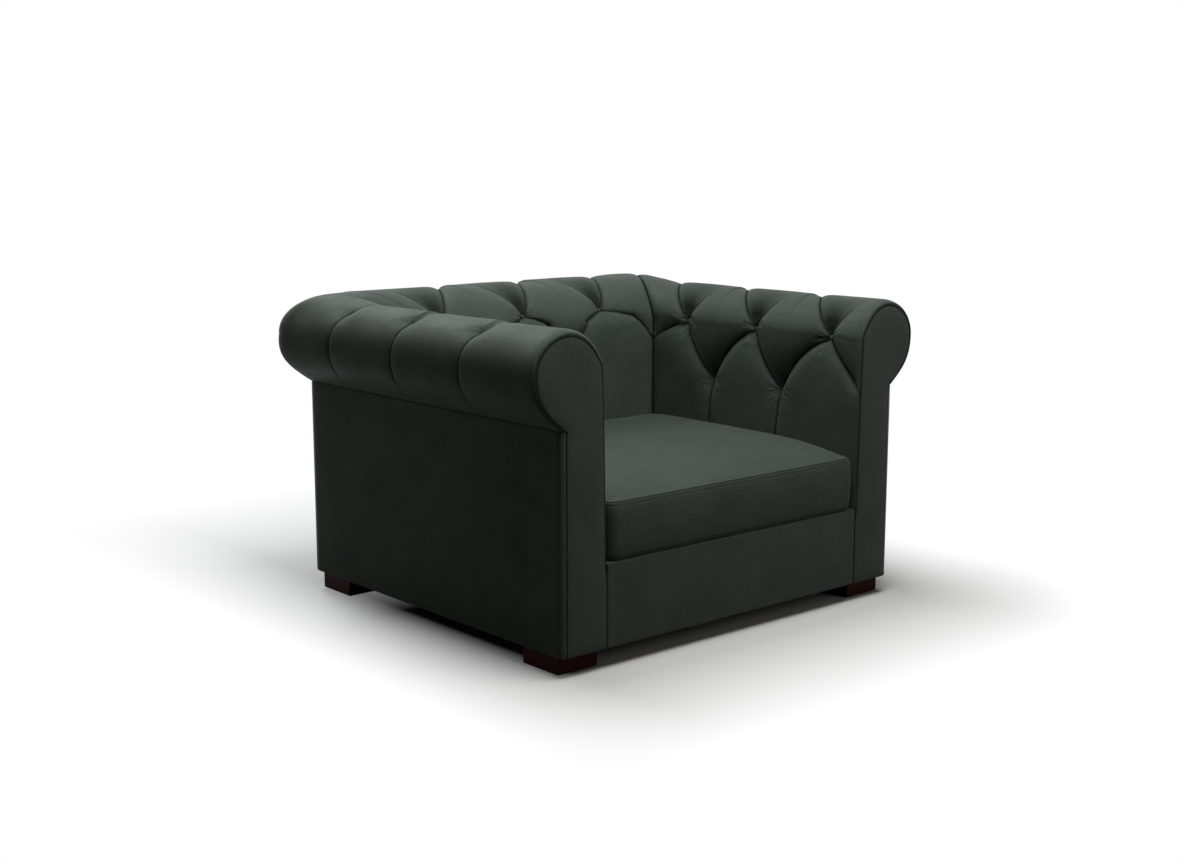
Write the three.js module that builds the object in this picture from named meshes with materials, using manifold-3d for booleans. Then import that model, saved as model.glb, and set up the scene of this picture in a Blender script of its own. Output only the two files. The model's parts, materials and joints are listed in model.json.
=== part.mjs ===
// Chesterfield armchair: rolled arms, a back of the same height, tufted pads and a loose seat cushion.
// Millimetres. X runs across the chair, the front faces -Y and +Z is up.
// The origin is on the floor, under the middle of the whole chair.

import * as THREE from 'three';
import { mergeVertices } from 'three/addons/utils/BufferGeometryUtils.js';
import Module from 'manifold-3d';

const wasm = await Module();
wasm.setup();

// Driving sizes of the whole chair
const bodyWidth = 1050; // across the outside arm panels
const bodyDepth = 976; // from the front facings to the outside back panel
const armWidth = 124; // from an arm's inside face to its outside panel
const backWidth = 250; // from the inside face of the back to the outside back panel
const rollOverhang = 75; // how far the rolls stand out past the outside panels
const footHeight = 44; // floor to the underside of the body
const panelTop = 527; // height of the seam under the rolls
const rollAxisRise = 120; // from that seam up to the widest line of the rolls
const rollRise = 89; // from there up to the ridge of the rolls
const backRollFront = 172; // from the inside face of the back to the ridge of its roll
const backAxisDrop = 17; // the back starts to curve over this far below the roll axis
const rollCornerRadius = 84; // plan radius of the rolls at the rear corners
const fitGap = 0.3; // clearance between pieces that touch on the real chair

// Soft covers
const padThickness = 36; // foam and leather of the tufted pads
const padBottom = 190; // the pads end here, below the seat deck
const lipWidth = 10; // the roll's leather turns over the edge of the facing by this much
const innerLipWidth = 2;
const lipRound = 3; // rounding of that turned edge
const facingThickness = 14;
const facingRound = 5;
const panelThickness = 10;
const seamDrop = 6; // how far the pads draw in at the mitred corners
const seamRun = 30; // width over which they draw in

// Tufts
const upperTufts = 3; // in the upper row of each arm and of the back
const backTuftMargin = 12; // from the back's outermost pleats to the inside arms
const upperTuftDrop = 4; // heights of the tufts, measured down or up from the roll axis
const backUpperTuftRise = 21;
const lowerTuftDrop = 145;
const facingSeamDrop = 127; // where the foremost crease meets the facing
const cornerSeamDrop = 59; // where the rear creases meet the corner seam
const pitDepth = 27;
const pitReach = 30;
const creaseDepth = 15;
const creaseReach = 24;
const pleatDepth = 7; // pleats straight down from the lower tufts and over the rolls
const puffRise = 4; // how far the leather stands out between the tufts

// Timber frame
const boardThickness = 25;
const postThickness = 22;
const tackRailHeight = 45;
const backPostSize = 45;
const cornerBlockSize = 80;
const cornerBlockHeight = 60;
const liningThickness = 4.4;

// Feet
const footWidth = 109;
const footDepth = 117;
const footSideInset = 8;
const footEndInset = 25;
const footEdge = 1.5; // small chamfer round each foot
const boltRadius = 4;
const boltLength = 84;
const boltSink = 12; // solid wood left under the bolt in the foot
const glideHeight = 3;
const glideRadius = 14;
const glideFlatRadius = 12;
const dustCoverThickness = 1.5;

// Seat
const railCoverTop = 231; // top of the front rail cover, where the cushion rests
const railCoverLedge = 80; // how far its top runs back over the deck
const railCoverRound = 6;
const springWire = 4;
const springWave = 26; // half width of a spring's waves
const insulatorThickness = 3;
const rearSeatRailSetback = 8; // from the inside face of the back to the rear seat rail
const railEdgeGap = 1.5; // between the front rail cover and each facing
const deckEdgeGap = 3;

// Seat cushion
const cushionSideGap = 10; // to each inside arm
const cushionBackGap = 12; // to the inside back, where the zip slider runs
const cushionFrontSetback = 2;
const cushionThickness = 140; // at the border
const cushionCrown = 25;
const cushionCornerDraw = 5;
const cushionEdgeRound = 9;
const coverWall = 3;
const zipEndGap = 91; // from each end of the zip to the cushion's side
const zipTapeWidth = 26;
const zipTapeThickness = 1.5;
const zipSlotHeight = 5;
const sliderLength = 14;
const sliderWidth = 9;
const sliderThickness = 3;
const sliderStopGap = 8; // between the slider and the end of the zip

// Places worked out from the sizes
const seatWidth = bodyWidth - armWidth * 2;
const seatDepth = bodyDepth - backWidth;
const rollAxis = panelTop + rollAxisRise;
const rollTop = rollAxis + rollRise;
const panelX = bodyWidth / 2;
const armX = seatWidth / 2;
const rollX = panelX + rollOverhang;
const ridgeX = (armX + rollX) / 2;
const frontY = -(bodyDepth + rollOverhang) / 2;
const rearY = frontY + bodyDepth;
const rollY = rearY + rollOverhang;
const backY = frontY + seatDepth;
const backRidgeY = backY + backRollFront;
const backAxis = rollAxis - backAxisDrop;
const coreDepth = padThickness + fitGap; // depth of what the pads are built on
const boardOuterX = panelX - panelThickness - fitGap;
const boardRearY = rearY - panelThickness - fitGap;
const postFrontY = frontY + facingThickness + fitGap;
const postRearY = postFrontY + postThickness;
const frameFrontY = postRearY + fitGap;
const coreX = armX + coreDepth;
const coreY = backY + coreDepth;
const frameBottom = footHeight + dustCoverThickness + fitGap;
const seatRailTop = padBottom - fitGap;
const plankTop = panelTop - fitGap;
const plankBottom = plankTop - boardThickness;
const sideRailInnerX = boardOuterX - boardThickness;
const backRailFrontY = boardRearY - boardThickness;
const blockOuterX = sideRailInnerX - fitGap;
const cushionBottom = railCoverTop + fitGap;

const armTuftPitch = seatDepth / upperTufts;
const backTuftPitch = (seatWidth - backTuftMargin * 2) / upperTufts;
const upperTuftHeight = rollAxis - upperTuftDrop;
const backUpperTuftHeight = rollAxis + backUpperTuftRise;
const lowerTuftHeight = rollAxis - lowerTuftDrop;
const facingSeamHeight = rollAxis - facingSeamDrop;
const cornerSeamHeight = rollAxis - cornerSeamDrop;

const quarterTurn = Math.PI / 2;

function blend(from, to, share) {
  return from + (to - from) * share;
}

// Materials
function finish(color, roughness, metalness) {
  return new THREE.MeshStandardMaterial({ color, roughness, metalness });
}

const leather = finish(0x3a4540, 0.5, 0);
const footWood = finish(0x32140d, 0.4, 0);
const frameWood = finish(0xb08d5c, 0.8, 0);
const fibreboard = finish(0x8a6b46, 0.9, 0);
const foam = finish(0xd9d2b4, 0.95, 0);
const feltCloth = finish(0x4c4a46, 1, 0);
const blackCloth = finish(0x17171a, 1, 0);
const springSteel = finish(0x8d9094, 0.35, 0.9);
const glideNylon = finish(0x8f8b82, 0.5, 0);
const zipBrass = finish(0x6f5a2c, 0.4, 0.9);
const zipCloth = finish(0x20251f, 0.9, 0);

const chair = new THREE.Group();

function addPiece(name, geometry, material) {
  const mesh = new THREE.Mesh(geometry, material);
  mesh.name = name;
  chair.add(mesh);
  return mesh;
}

// A board between two opposite corners
function addBoard(name, material, low, high) {
  const size = high.map((value, axis) => value - low[axis]);
  const mesh = addPiece(name, new THREE.BoxGeometry(...size), material);
  mesh.position.set(...low.map((value, axis) => value + size[axis] / 2));
  return mesh;
}

// Boards and pieces that come in pairs are written for the right side and mirrored to the left.
function addBoardPair(name, material, low, high) {
  addBoard(`right_${name}`, material, low, high);
  addBoard(`left_${name}`, material, [-high[0], low[1], low[2]], [-low[0], high[1], high[2]]);
}

function mirrored(geometry) {
  const copy = geometry.clone().applyMatrix4(new THREE.Matrix4().makeScale(-1, 1, 1));
  const order = copy.index.array;
  for (let i = 0; i < order.length; i += 3) {
    [order[i + 1], order[i + 2]] = [order[i + 2], order[i + 1]];
  }
  return copy;
}

function addPair(name, geometry, material) {
  addPiece(`right_${name}`, geometry, material);
  addPiece(`left_${name}`, mirrored(geometry), material);
}

// Booleans
function bare(geometry) {
  const copy = geometry.clone();
  copy.deleteAttribute('normal');
  copy.deleteAttribute('uv');
  return mergeVertices(copy);
}

function toSolid(geometry) {
  const merged = bare(geometry);
  return new wasm.Manifold(new wasm.Mesh({
    numProp: 3,
    vertProperties: new Float32Array(merged.attributes.position.array),
    triVerts: new Uint32Array(merged.index.array),
  }));
}

function toGeometry(solid) {
  const mesh = solid.getMesh();
  const geometry = new THREE.BufferGeometry();
  geometry.setAttribute('position', new THREE.BufferAttribute(mesh.vertProperties, 3));
  geometry.setIndex(new THREE.BufferAttribute(mesh.triVerts, 1));
  geometry.computeVertexNormals();
  return geometry;
}

// A closed body from rings of points. flats holds the first and the last ring's points in a plane,
// for their end faces, and pickDiagonal says which way each four-sided patch is split.
function loft(rings, flats, pickDiagonal = () => true) {
  const count = rings[0].length;
  const faces = [];
  for (let ring = 0; ring + 1 < rings.length; ring += 1) {
    for (let i = 0; i < count; i += 1) {
      const next = (i + 1) % count;
      const a = ring * count + i;
      const b = ring * count + next;
      const c = a + count;
      const d = b + count;
      faces.push(...(pickDiagonal(ring, i) ? [a, b, d, a, d, c] : [a, b, c, b, d, c]));
    }
  }
  flats.forEach((flat, end) => {
    const start = end * (rings.length - 1) * count;
    const turned = (THREE.ShapeUtils.area(flat) > 0) === (end === 0);
    for (const [a, b, c] of THREE.ShapeUtils.triangulateShape(flat, [])) {
      faces.push(start + a, start + (turned ? c : b), start + (turned ? b : c));
    }
  });
  const geometry = new THREE.BufferGeometry();
  const places = rings.flat().flatMap((point) => [point.x, point.y, point.z]);
  geometry.setAttribute('position', new THREE.Float32BufferAttribute(places, 3));
  geometry.setIndex(faces);
  turnOutward(geometry);
  geometry.computeVertexNormals();
  return geometry;
}

function turnOutward(geometry) {
  const at = geometry.attributes.position;
  const order = geometry.index.array;
  const corner = [0, 1, 2].map(() => new THREE.Vector3());
  let volume = 0;
  for (let i = 0; i < order.length; i += 3) {
    corner.forEach((point, k) => point.fromBufferAttribute(at, order[i + k]));
    volume += corner[0].dot(corner[1].clone().cross(corner[2]));
  }
  if (volume < 0) {
    for (let i = 0; i < order.length; i += 3) {
      [order[i + 1], order[i + 2]] = [order[i + 2], order[i + 1]];
    }
  }
}

// Outline of the arms and the back.
// A station runs from 0 to 4: up the inside face, over the inner half of the roll, down its outer
// half, and in under it to the seam. Depth is measured in from the surface. x is the arm's surface
// at that station, y the back's surface at the same height, so both meet in one mitre.
const underRollDrop = (rollAxis - panelTop) / 2;
const seamTurnShares = [0.62, 0.3]; // direction of the roll's underside where it reaches the seam

function cubic(from, handleFrom, handleTo, to, share) {
  const rest = 1 - share;
  return rest ** 3 * from + 3 * rest ** 2 * share * handleFrom
    + 3 * rest * share ** 2 * handleTo + share ** 3 * to;
}

function profileAt(station, depth) {
  if (station <= 2) {
    const rising = station <= 1;
    const angle = rising ? 0 : (station - 1) * quarterTurn;
    const z = rising ? blend(padBottom, rollAxis, station)
      : rollAxis + (rollTop - rollAxis - depth) * Math.sin(angle);
    const x = ridgeX - (ridgeX - armX - depth) * Math.cos(angle);
    const lift = Math.max(0, (z - backAxis) / (rollTop - depth - backAxis));
    const y = backRidgeY - (backRollFront - depth) * Math.sqrt(Math.max(0, 1 - lift ** 2));
    return { x, y, z };
  }
  if (station <= 3) {
    const angle = (3 - station) * quarterTurn;
    return {
      x: ridgeX + (rollX - ridgeX - depth) * Math.cos(angle),
      y: backRidgeY + (rollY - backRidgeY - depth) * Math.cos(angle),
      z: rollAxis + (rollTop - rollAxis - depth) * Math.sin(angle),
    };
  }
  const share = station - 3;
  const [turnOut, turnUp] = seamTurnShares;
  const handleX = panelX + turnOut * rollOverhang;
  const handleZ = panelTop + turnUp * (rollAxis - panelTop);
  const x = cubic(rollX, rollX, handleX, panelX, share) - depth;
  const z = cubic(rollAxis, rollAxis - underRollDrop, handleZ, panelTop, share);
  return { x, y: x - panelX + rearY, z };
}

// The rolls and the body go round the rear corners on an arc in plan.
function roundedCorner(x, y, station, depth) {
  if (station <= 2) return { x, y };
  const edge = profileAt(station, depth);
  const outwards = station <= 3 ? Math.cos((3 - station) * quarterTurn) : 1;
  const fade = station <= 3 ? 0 : station - 3;
  const radius = blend(rollCornerRadius, panelThickness, fade) * outwards - depth;
  const across = x - (edge.x - radius);
  const along = y - (edge.y - radius);
  if (radius <= 0 || across <= 0 || along <= 0) return { x, y };
  const pull = Math.max(across, along) / Math.hypot(across, along);
  return { x: edge.x - radius + across * pull, y: edge.y - radius + along * pull };
}

// Length along the surface from the bottom of the pad to a station, for the arm or for the back
function surfaceLengths(side) {
  const steps = 400;
  const lengths = [0];
  for (let i = 1; i <= steps; i += 1) {
    const before = profileAt((i - 1) / steps * 4, 0);
    const after = profileAt(i / steps * 4, 0);
    lengths.push(lengths[i - 1] + Math.hypot(after[side] - before[side], after.z - before.z));
  }
  return (station) => {
    const place = Math.min(station / 4 * steps, steps - 1);
    const whole = Math.floor(place);
    return blend(lengths[whole], lengths[whole + 1], place - whole);
  };
}

const armLength = surfaceLengths('x');
const backLength = surfaceLengths('y');

function stationAtHeight(height) {
  if (height <= rollAxis) return (height - padBottom) / (rollAxis - padBottom);
  return 1 + Math.asin((height - rollAxis) / (rollTop - rollAxis)) / quarterTurn;
}

const crestStation = 2.12; // the roll-top tuft points lie just past the ridge
const lowerStation = stationAtHeight(lowerTuftHeight);

// Tuft layouts: pits as [along, station] and creases as [along, station, along, station, depth].
// along is measured from the front on the arms and from the middle on the back.
function armTufts() {
  const upper = stationAtHeight(upperTuftHeight);
  const pits = [];
  const creases = [];
  for (let i = 0; i < upperTufts; i += 1) {
    const here = (i + 0.5) * armTuftPitch;
    const behind = (i + 1) * armTuftPitch;
    const before = i * armTuftPitch;
    pits.push([here, upper]);
    creases.push([here, upper, behind, crestStation, creaseDepth]);
    creases.push([here, upper, before, crestStation, creaseDepth]);
    creases.push([behind, crestStation, behind, 4, pleatDepth]);
    if (i < upperTufts - 1) {
      pits.push([behind, lowerStation]);
      creases.push([here, upper, behind, lowerStation, creaseDepth]);
      creases.push([behind, lowerStation, behind, 0, pleatDepth]);
    } else {
      creases.push([here, upper, seatDepth, stationAtHeight(cornerSeamHeight), creaseDepth]);
    }
    const meets = i > 0 ? lowerStation : stationAtHeight(facingSeamHeight);
    creases.push([here, upper, before, meets, creaseDepth]);
  }
  return { pits, creases, lengthAt: armLength };
}

function backTufts() {
  const upper = stationAtHeight(backUpperTuftHeight);
  const pits = [];
  const creases = [];
  const outermost = (upperTufts - 1) / 2;
  for (let i = -outermost; i <= outermost; i += 1) {
    const here = i * backTuftPitch;
    pits.push([here, upper]);
    for (const turn of [-1, 1]) {
      const beside = here + turn * backTuftPitch / 2;
      creases.push([here, upper, beside, crestStation, creaseDepth]);
      creases.push([beside, crestStation, beside, 4, pleatDepth]);
      if (i === turn * outermost) {
        creases.push([here, upper, turn * armX, stationAtHeight(cornerSeamHeight), creaseDepth]);
      } else {
        creases.push([here, upper, beside, lowerStation, creaseDepth]);
      }
    }
    if (i < outermost) {
      const between = here + backTuftPitch / 2;
      pits.push([between, lowerStation]);
      creases.push([between, lowerStation, between, 0, pleatDepth]);
    }
  }
  return { pits, creases, lengthAt: backLength };
}

// Depth of the tufted surface below the smooth one
function tuftDepth(along, station, layout) {
  const up = layout.lengthAt(station);
  let depth = 0;
  for (const [fromAlong, fromStation, toAlong, toStation, most] of layout.creases) {
    const fromUp = layout.lengthAt(fromStation);
    const runAlong = toAlong - fromAlong;
    const runUp = layout.lengthAt(toStation) - fromUp;
    const share = ((along - fromAlong) * runAlong + (up - fromUp) * runUp) / (runAlong ** 2 + runUp ** 2);
    const held = Math.min(1, Math.max(0, share));
    const off = Math.hypot(along - fromAlong - held * runAlong, up - fromUp - held * runUp);
    depth = Math.max(depth, most * Math.exp(-((off / creaseReach) ** 1.5)));
  }
  for (const [pitAlong, pitStation] of layout.pits) {
    const off = Math.hypot(along - pitAlong, up - layout.lengthAt(pitStation));
    depth = Math.max(depth, pitDepth * Math.exp(-((off / pitReach) ** 1.5)));
  }
  return depth - puffRise * Math.min(1, Math.max(0, 3 - station));
}

// Rows of the pads, and of all that follows their section: the stations between the bottom, the tuft
// lines and the seam under the roll
const rowStops = [0, lowerStation, stationAtHeight(upperTuftHeight),
  stationAtHeight(backUpperTuftHeight), crestStation, 4];
const rowCounts = [6, 7, 2, 8, 9];
const stations = [0];
rowCounts.forEach((count, k) => {
  for (let i = 1; i <= count; i += 1) stations.push(blend(rowStops[k], rowStops[k + 1], i / count));
});

// The puffs die out at the two long edges of a pad, where it is tacked down, and at a mitre they
// draw in to the seam. The shares are of one station.
const puffFadeShares = { startShare: 0.15, runShare: 0.2, seamRunShare: 0.4 };

function edgeFade(station) {
  const { startShare, runShare, seamRunShare } = puffFadeShares;
  return Math.min(1, Math.max(0, (station - startShare) / runShare), (4 - station) / seamRunShare);
}

function puffDepth(along, end, station, layout) {
  const nearSeam = Math.min(1, (end - Math.abs(along)) / seamRun);
  return edgeFade(station) * blend(seamDrop, tuftDepth(along, station, layout), nearSeam);
}

const cellsPerPitch = 8;
const tailShares = [0.2, 0.45, 0.7, 0.86];
const backTailShares = [0.3, 0.6, 0.82];
const cornerRun = rollCornerRadius - padThickness; // inside the pads, the last stretch before a mitre

// The turned edge widens where the roll begins and narrows again where it meets the seam.
const lipFadeShares = { startShare: 0.8, runShare: 0.6, seamRunShare: 0.5 };

function lipAt(station) {
  const { startShare, runShare, seamRunShare } = lipFadeShares;
  const widening = Math.max(0, (station - startShare) / runShare);
  const narrowing = Math.max(0, (4 - station) / seamRunShare);
  return blend(innerLipWidth, lipWidth, Math.min(1, widening, narrowing));
}

function armPadGeometry() {
  const layout = armTufts();
  const cell = armTuftPitch / cellsPerPitch;
  const steady = Math.floor((seatDepth - cell / 2) / cell);
  const alongs = (station) => {
    const end = profileAt(station, 0).y - frontY;
    const plain = Array.from({ length: steady }, (none, i) => (i + 1) * cell);
    const tail = tailShares.map((share) => blend(steady * cell, end, share));
    return [...plain, ...tail];
  };
  const armPoint = (station, depth, along) => {
    const edge = profileAt(station, depth);
    const place = roundedCorner(edge.x, frontY + along, station, depth);
    return new THREE.Vector3(place.x, place.y, edge.z);
  };
  const rings = stations.map((station) => {
    const lip = lipAt(station);
    const end = profileAt(station, 0).y - frontY;
    const mitre = (depth, run) => armPoint(station, depth, profileAt(station, depth).y - run - frontY);
    return [
      armPoint(station, lip - innerLipWidth / 2, 0),
      armPoint(station, Math.min(lipRound, lip / 2), lipRound),
      ...alongs(station).map((along) => armPoint(station, puffDepth(along, end, station, layout), along)),
      mitre(seamDrop * edgeFade(station), fitGap),
      mitre(padThickness, fitGap),
      mitre(padThickness, cornerRun),
      armPoint(station, padThickness, facingThickness + fitGap),
      armPoint(station, lip, facingThickness + fitGap),
      armPoint(station, lip, 0),
    ];
  });
  return loft(rings, padEnds(rings), sharpest(rings, 6));
}

// A pad's bottom and its edge at the seam are both level, so they are seen flat from above.
function padEnds(rings) {
  return [rings[0], rings.at(-1)].map((ring) => ring.map((point) => new THREE.Vector2(point.x, point.y)));
}

// Splits each patch of a pad along the diagonal that lies lower, so that the creases stay sharp.
// The last few points of a ring are the pad's flat sides, which are split alike on both sides of a mitre.
function sharpest(rings, sidePoints) {
  const middle = (a, b) => a.clone().add(b).multiplyScalar(0.5);
  const centre = new THREE.Vector3(0, backRidgeY, rollAxis - rollOverhang);
  return (ring, i) => {
    const count = rings[ring].length;
    if (i >= count - sidePoints) return i < count - 1;
    const next = i + 1;
    const straight = middle(rings[ring][i], rings[ring + 1][next]);
    const crossed = middle(rings[ring][next], rings[ring + 1][i]);
    const hub = centre.clone().setX(straight.x > ridgeX / 2 ? ridgeX : 0);
    hub.y = hub.x > 0 ? straight.y : backRidgeY;
    return straight.distanceTo(hub) < crossed.distanceTo(hub);
  };
}

function backPadGeometry() {
  const layout = backTufts();
  const cell = backTuftPitch / cellsPerPitch;
  const steady = Math.floor((armX - cell / 4) / cell);
  const backPoint = (station, depth, along) => {
    const edge = profileAt(station, depth);
    const place = roundedCorner(Math.abs(along), edge.y, station, depth);
    return new THREE.Vector3(Math.sign(along) * place.x, place.y, edge.z);
  };
  const rings = stations.map((station) => {
    const end = profileAt(station, 0).x;
    const tail = backTailShares.map((share) => blend(steady * cell, end, share));
    const plain = Array.from({ length: steady + 1 }, (none, i) => i * cell);
    const half = [...plain, ...tail];
    const alongs = [...half.slice(1).reverse().map((along) => -along), ...half];
    const mitre = (side, depth, run) => {
      const across = profileAt(station, depth).x - run;
      return backPoint(station, depth, side * across);
    };
    const drop = seamDrop * edgeFade(station);
    return [
      mitre(-1, drop, fitGap),
      ...alongs.map((along) => backPoint(station, puffDepth(along, end, station, layout), along)),
      mitre(1, drop, fitGap),
      mitre(1, padThickness, fitGap),
      mitre(1, padThickness, cornerRun),
      mitre(-1, padThickness, cornerRun),
      mitre(-1, padThickness, fitGap),
    ];
  });
  return loft(rings, padEnds(rings), sharpest(rings, 5));
}

addPair('arm_pad', armPadGeometry(), leather);
addPiece('back_pad', backPadGeometry(), leather);

// Roll formers, the firm foam that the pads are stretched over above the planks
const formerFoot = stationAtHeight(panelTop);
const formerStations = [formerFoot, ...stations.filter((station) => station > formerFoot)];

// Both end faces of a former or a facing are split alike, by the arm's section
function sectionEnds(ring) {
  const flat = ring.map((point) => new THREE.Vector2(point.x, point.z));
  return [flat, flat];
}

function armFormerGeometry() {
  const rings = [fitGap, cornerRun, null].map((run) => formerStations.map((station) => {
    const edge = profileAt(station, coreDepth);
    const y = run === null ? frameFrontY : edge.y - run;
    const place = roundedCorner(edge.x, y, station, coreDepth);
    return new THREE.Vector3(place.x, place.y, edge.z);
  }));
  return loft(rings, sectionEnds(rings[0]));
}

function backFormerGeometry() {
  const ends = [[1, fitGap], [1, cornerRun], [-1, cornerRun], [-1, fitGap]];
  const rings = ends.map(([side, run]) => formerStations.map((station) => {
    const edge = profileAt(station, coreDepth);
    const place = roundedCorner(edge.x - run, edge.y, station, coreDepth);
    return new THREE.Vector3(side * place.x, place.y, edge.z);
  }));
  const armSection = formerStations.map((station) => profileAt(station, coreDepth));
  return loft(rings, sectionEnds(armSection));
}

addPair('arm_former', armFormerGeometry(), foam);
addPiece('back_former', backFormerGeometry(), foam);

// Front facings and the posts behind them, as rings of one outline at growing depth
function frontOutline(headDepth, edgeDepth, outerX, bottom, y) {
  const head = stations.map((station) => {
    const point = profileAt(station, headDepth(station));
    return new THREE.Vector3(point.x, y, point.z);
  });
  const innerX = head[0].x;
  const shoulder = plankTop - edgeDepth;
  return [
    new THREE.Vector3(innerX, y, bottom + edgeDepth),
    ...head,
    new THREE.Vector3(outerX - edgeDepth, y, shoulder),
    new THREE.Vector3(outerX - edgeDepth, y, bottom + edgeDepth),
  ];
}

function facingGeometry() {
  const insets = [
    [facingRound, 0],
    [facingRound / 3, facingRound / 3],
    [0, facingRound],
    [0, facingThickness],
  ];
  const rings = insets.map(([inset, back]) => frontOutline(
    (station) => lipAt(station) + fitGap + inset, inset, panelX, footHeight, frontY + back,
  ));
  return loft(rings, sectionEnds(rings[0]));
}

function postGeometry() {
  const rings = [postFrontY, postRearY].map((y) => frontOutline(
    () => coreDepth, 0, boardOuterX, frameBottom, y,
  ));
  return loft(rings, sectionEnds(rings[0]));
}

addPair('front_facing', facingGeometry(), leather);
addPair('front_post', postGeometry(), frameWood);

// Outside panels, with the side panels rounded into the back at the rear corners
function sidePanelGeometry() {
  const innerX = panelX - panelThickness;
  const outline = new THREE.Shape();
  outline.moveTo(innerX, postFrontY);
  outline.lineTo(panelX, postFrontY);
  outline.absarc(innerX, rearY - panelThickness, panelThickness, 0, quarterTurn, false);
  outline.closePath();
  const options = { depth: plankTop - footHeight, bevelEnabled: false, curveSegments: 4 };
  return bare(new THREE.ExtrudeGeometry(outline, options).translate(0, 0, footHeight));
}

addPair('outside_panel', sidePanelGeometry(), leather);
addBoard('back_outside_panel', leather,
  [-boardOuterX, rearY - panelThickness, footHeight], [boardOuterX, rearY, plankTop]);

// Front rail cover: a padded face over the rail and a ledge over the front of the deck
const springTop = seatRailTop + fitGap + springWire;
const insulatorBottom = springTop + fitGap;
const insulatorTop = insulatorBottom + insulatorThickness;
const deckBottom = insulatorTop + fitGap;

function railCoverGeometry() {
  const halfWidth = armX - railEdgeGap;
  const ledgeY = frontY + railCoverLedge;
  const legY = frontY + facingThickness;
  const outline = new THREE.Shape();
  outline.moveTo(frontY, footHeight);
  outline.lineTo(frontY, railCoverTop - railCoverRound);
  outline.quadraticCurveTo(frontY, railCoverTop, frontY + railCoverRound, railCoverTop);
  outline.lineTo(ledgeY, railCoverTop);
  outline.lineTo(ledgeY, deckBottom);
  outline.lineTo(legY, deckBottom);
  outline.lineTo(legY, footHeight);
  outline.closePath();
  const round = railCoverRound / 2;
  const options = {
    depth: (halfWidth - round) * 2,
    bevelThickness: round,
    bevelSize: round,
    bevelOffset: -round,
    bevelSegments: 2,
    curveSegments: 4,
  };
  const geometry = new THREE.ExtrudeGeometry(outline, options).translate(0, 0, round - halfWidth);
  return bare(geometry.rotateX(quarterTurn).rotateZ(quarterTurn));
}

addPiece('front_rail_cover', railCoverGeometry(), leather);

// Timber frame
addBoard('front_rail', frameWood,
  [-coreX + fitGap, postFrontY, frameBottom], [coreX - fitGap, postRearY, seatRailTop]);
addBoardPair('side_rail', frameWood,
  [sideRailInnerX, frameFrontY, frameBottom], [boardOuterX, boardRearY, seatRailTop]);
addBoard('back_rail', frameWood,
  [-blockOuterX, backRailFrontY, frameBottom], [blockOuterX, boardRearY, seatRailTop]);
const rearSeatRailY = backY - rearSeatRailSetback;
addBoard('rear_seat_rail', frameWood,
  [-blockOuterX, rearSeatRailY - boardThickness, seatRailTop - tackRailHeight * 2],
  [blockOuterX, rearSeatRailY, seatRailTop]);
addBoardPair('arm_plank', frameWood,
  [coreX, frameFrontY, plankBottom], [boardOuterX, boardRearY, plankTop]);
addBoard('back_plank', frameWood,
  [-coreX + fitGap, coreY, plankBottom], [coreX - fitGap, boardRearY, plankTop]);

const postOuterX = blockOuterX;
const postInnerX = postOuterX - backPostSize;
const backPostRearY = backRailFrontY - fitGap;
const backPostFrontY = backPostRearY - backPostSize;
const blockTop = frameBottom + cornerBlockHeight;
addBoardPair('back_post', frameWood,
  [postInnerX, backPostFrontY, blockTop + fitGap], [postOuterX, backPostRearY, plankBottom - fitGap]);

const liningX = coreX + liningThickness;
const liningY = coreY + liningThickness;
const liningTop = plankBottom - fitGap;
addBoardPair('arm_lining', fibreboard,
  [coreX, frameFrontY, padBottom], [liningX, coreY - fitGap, liningTop]);
addBoard('back_lining', fibreboard,
  [-coreX + fitGap, coreY, padBottom], [coreX - fitGap, liningY, liningTop]);
const tackX = liningX + fitGap;
const tackTop = padBottom + tackRailHeight;
addBoardPair('arm_tack_rail', frameWood,
  [tackX, frameFrontY, padBottom], [tackX + boardThickness, backPostFrontY - fitGap, tackTop]);
const backTackX = tackX - fitGap;
const backTackY = liningY + fitGap;
addBoard('back_tack_rail', frameWood,
  [-backTackX, backTackY, padBottom], [backTackX, backTackY + boardThickness, tackTop]);
addBoard('back_upright', frameWood,
  [-boardThickness, backTackY, tackTop + fitGap], [boardThickness, backTackY + boardThickness, liningTop]);

// Corner blocks, feet, bolts and glides
const footTop = footHeight - fitGap;
const footX = panelX - footSideInset - footWidth / 2;
const footFrontY = frontY + footEndInset + footDepth / 2;
const footRearY = rearY - footEndInset - footDepth / 2;
const boltBottom = glideHeight + boltSink;
const roundSides = 20;

function uprightCylinder(radius, bottom, top) {
  return new THREE.CylinderGeometry(radius, radius, top - bottom, roundSides)
    .rotateX(quarterTurn).translate(0, 0, (bottom + top) / 2);
}

function boltGeometry() {
  return uprightCylinder(boltRadius, boltBottom + fitGap, boltBottom + boltLength);
}

function boltHole(bottom, top) {
  return toSolid(uprightCylinder(boltRadius + fitGap, bottom, top));
}

function footGeometry() {
  const flatX = footWidth / 2 - footEdge;
  const flatY = footDepth / 2 - footEdge;
  const outline = new THREE.Shape([
    new THREE.Vector2(-flatX, -flatY), new THREE.Vector2(flatX, -flatY),
    new THREE.Vector2(flatX, flatY), new THREE.Vector2(-flatX, flatY),
  ]);
  const options = {
    depth: footTop - glideHeight - footEdge * 2,
    bevelThickness: footEdge,
    bevelSize: footEdge,
    bevelSegments: 1,
  };
  const block = new THREE.ExtrudeGeometry(outline, options).translate(0, 0, glideHeight + footEdge);
  return toGeometry(toSolid(block).subtract(boltHole(boltBottom, footHeight)));
}

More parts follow.
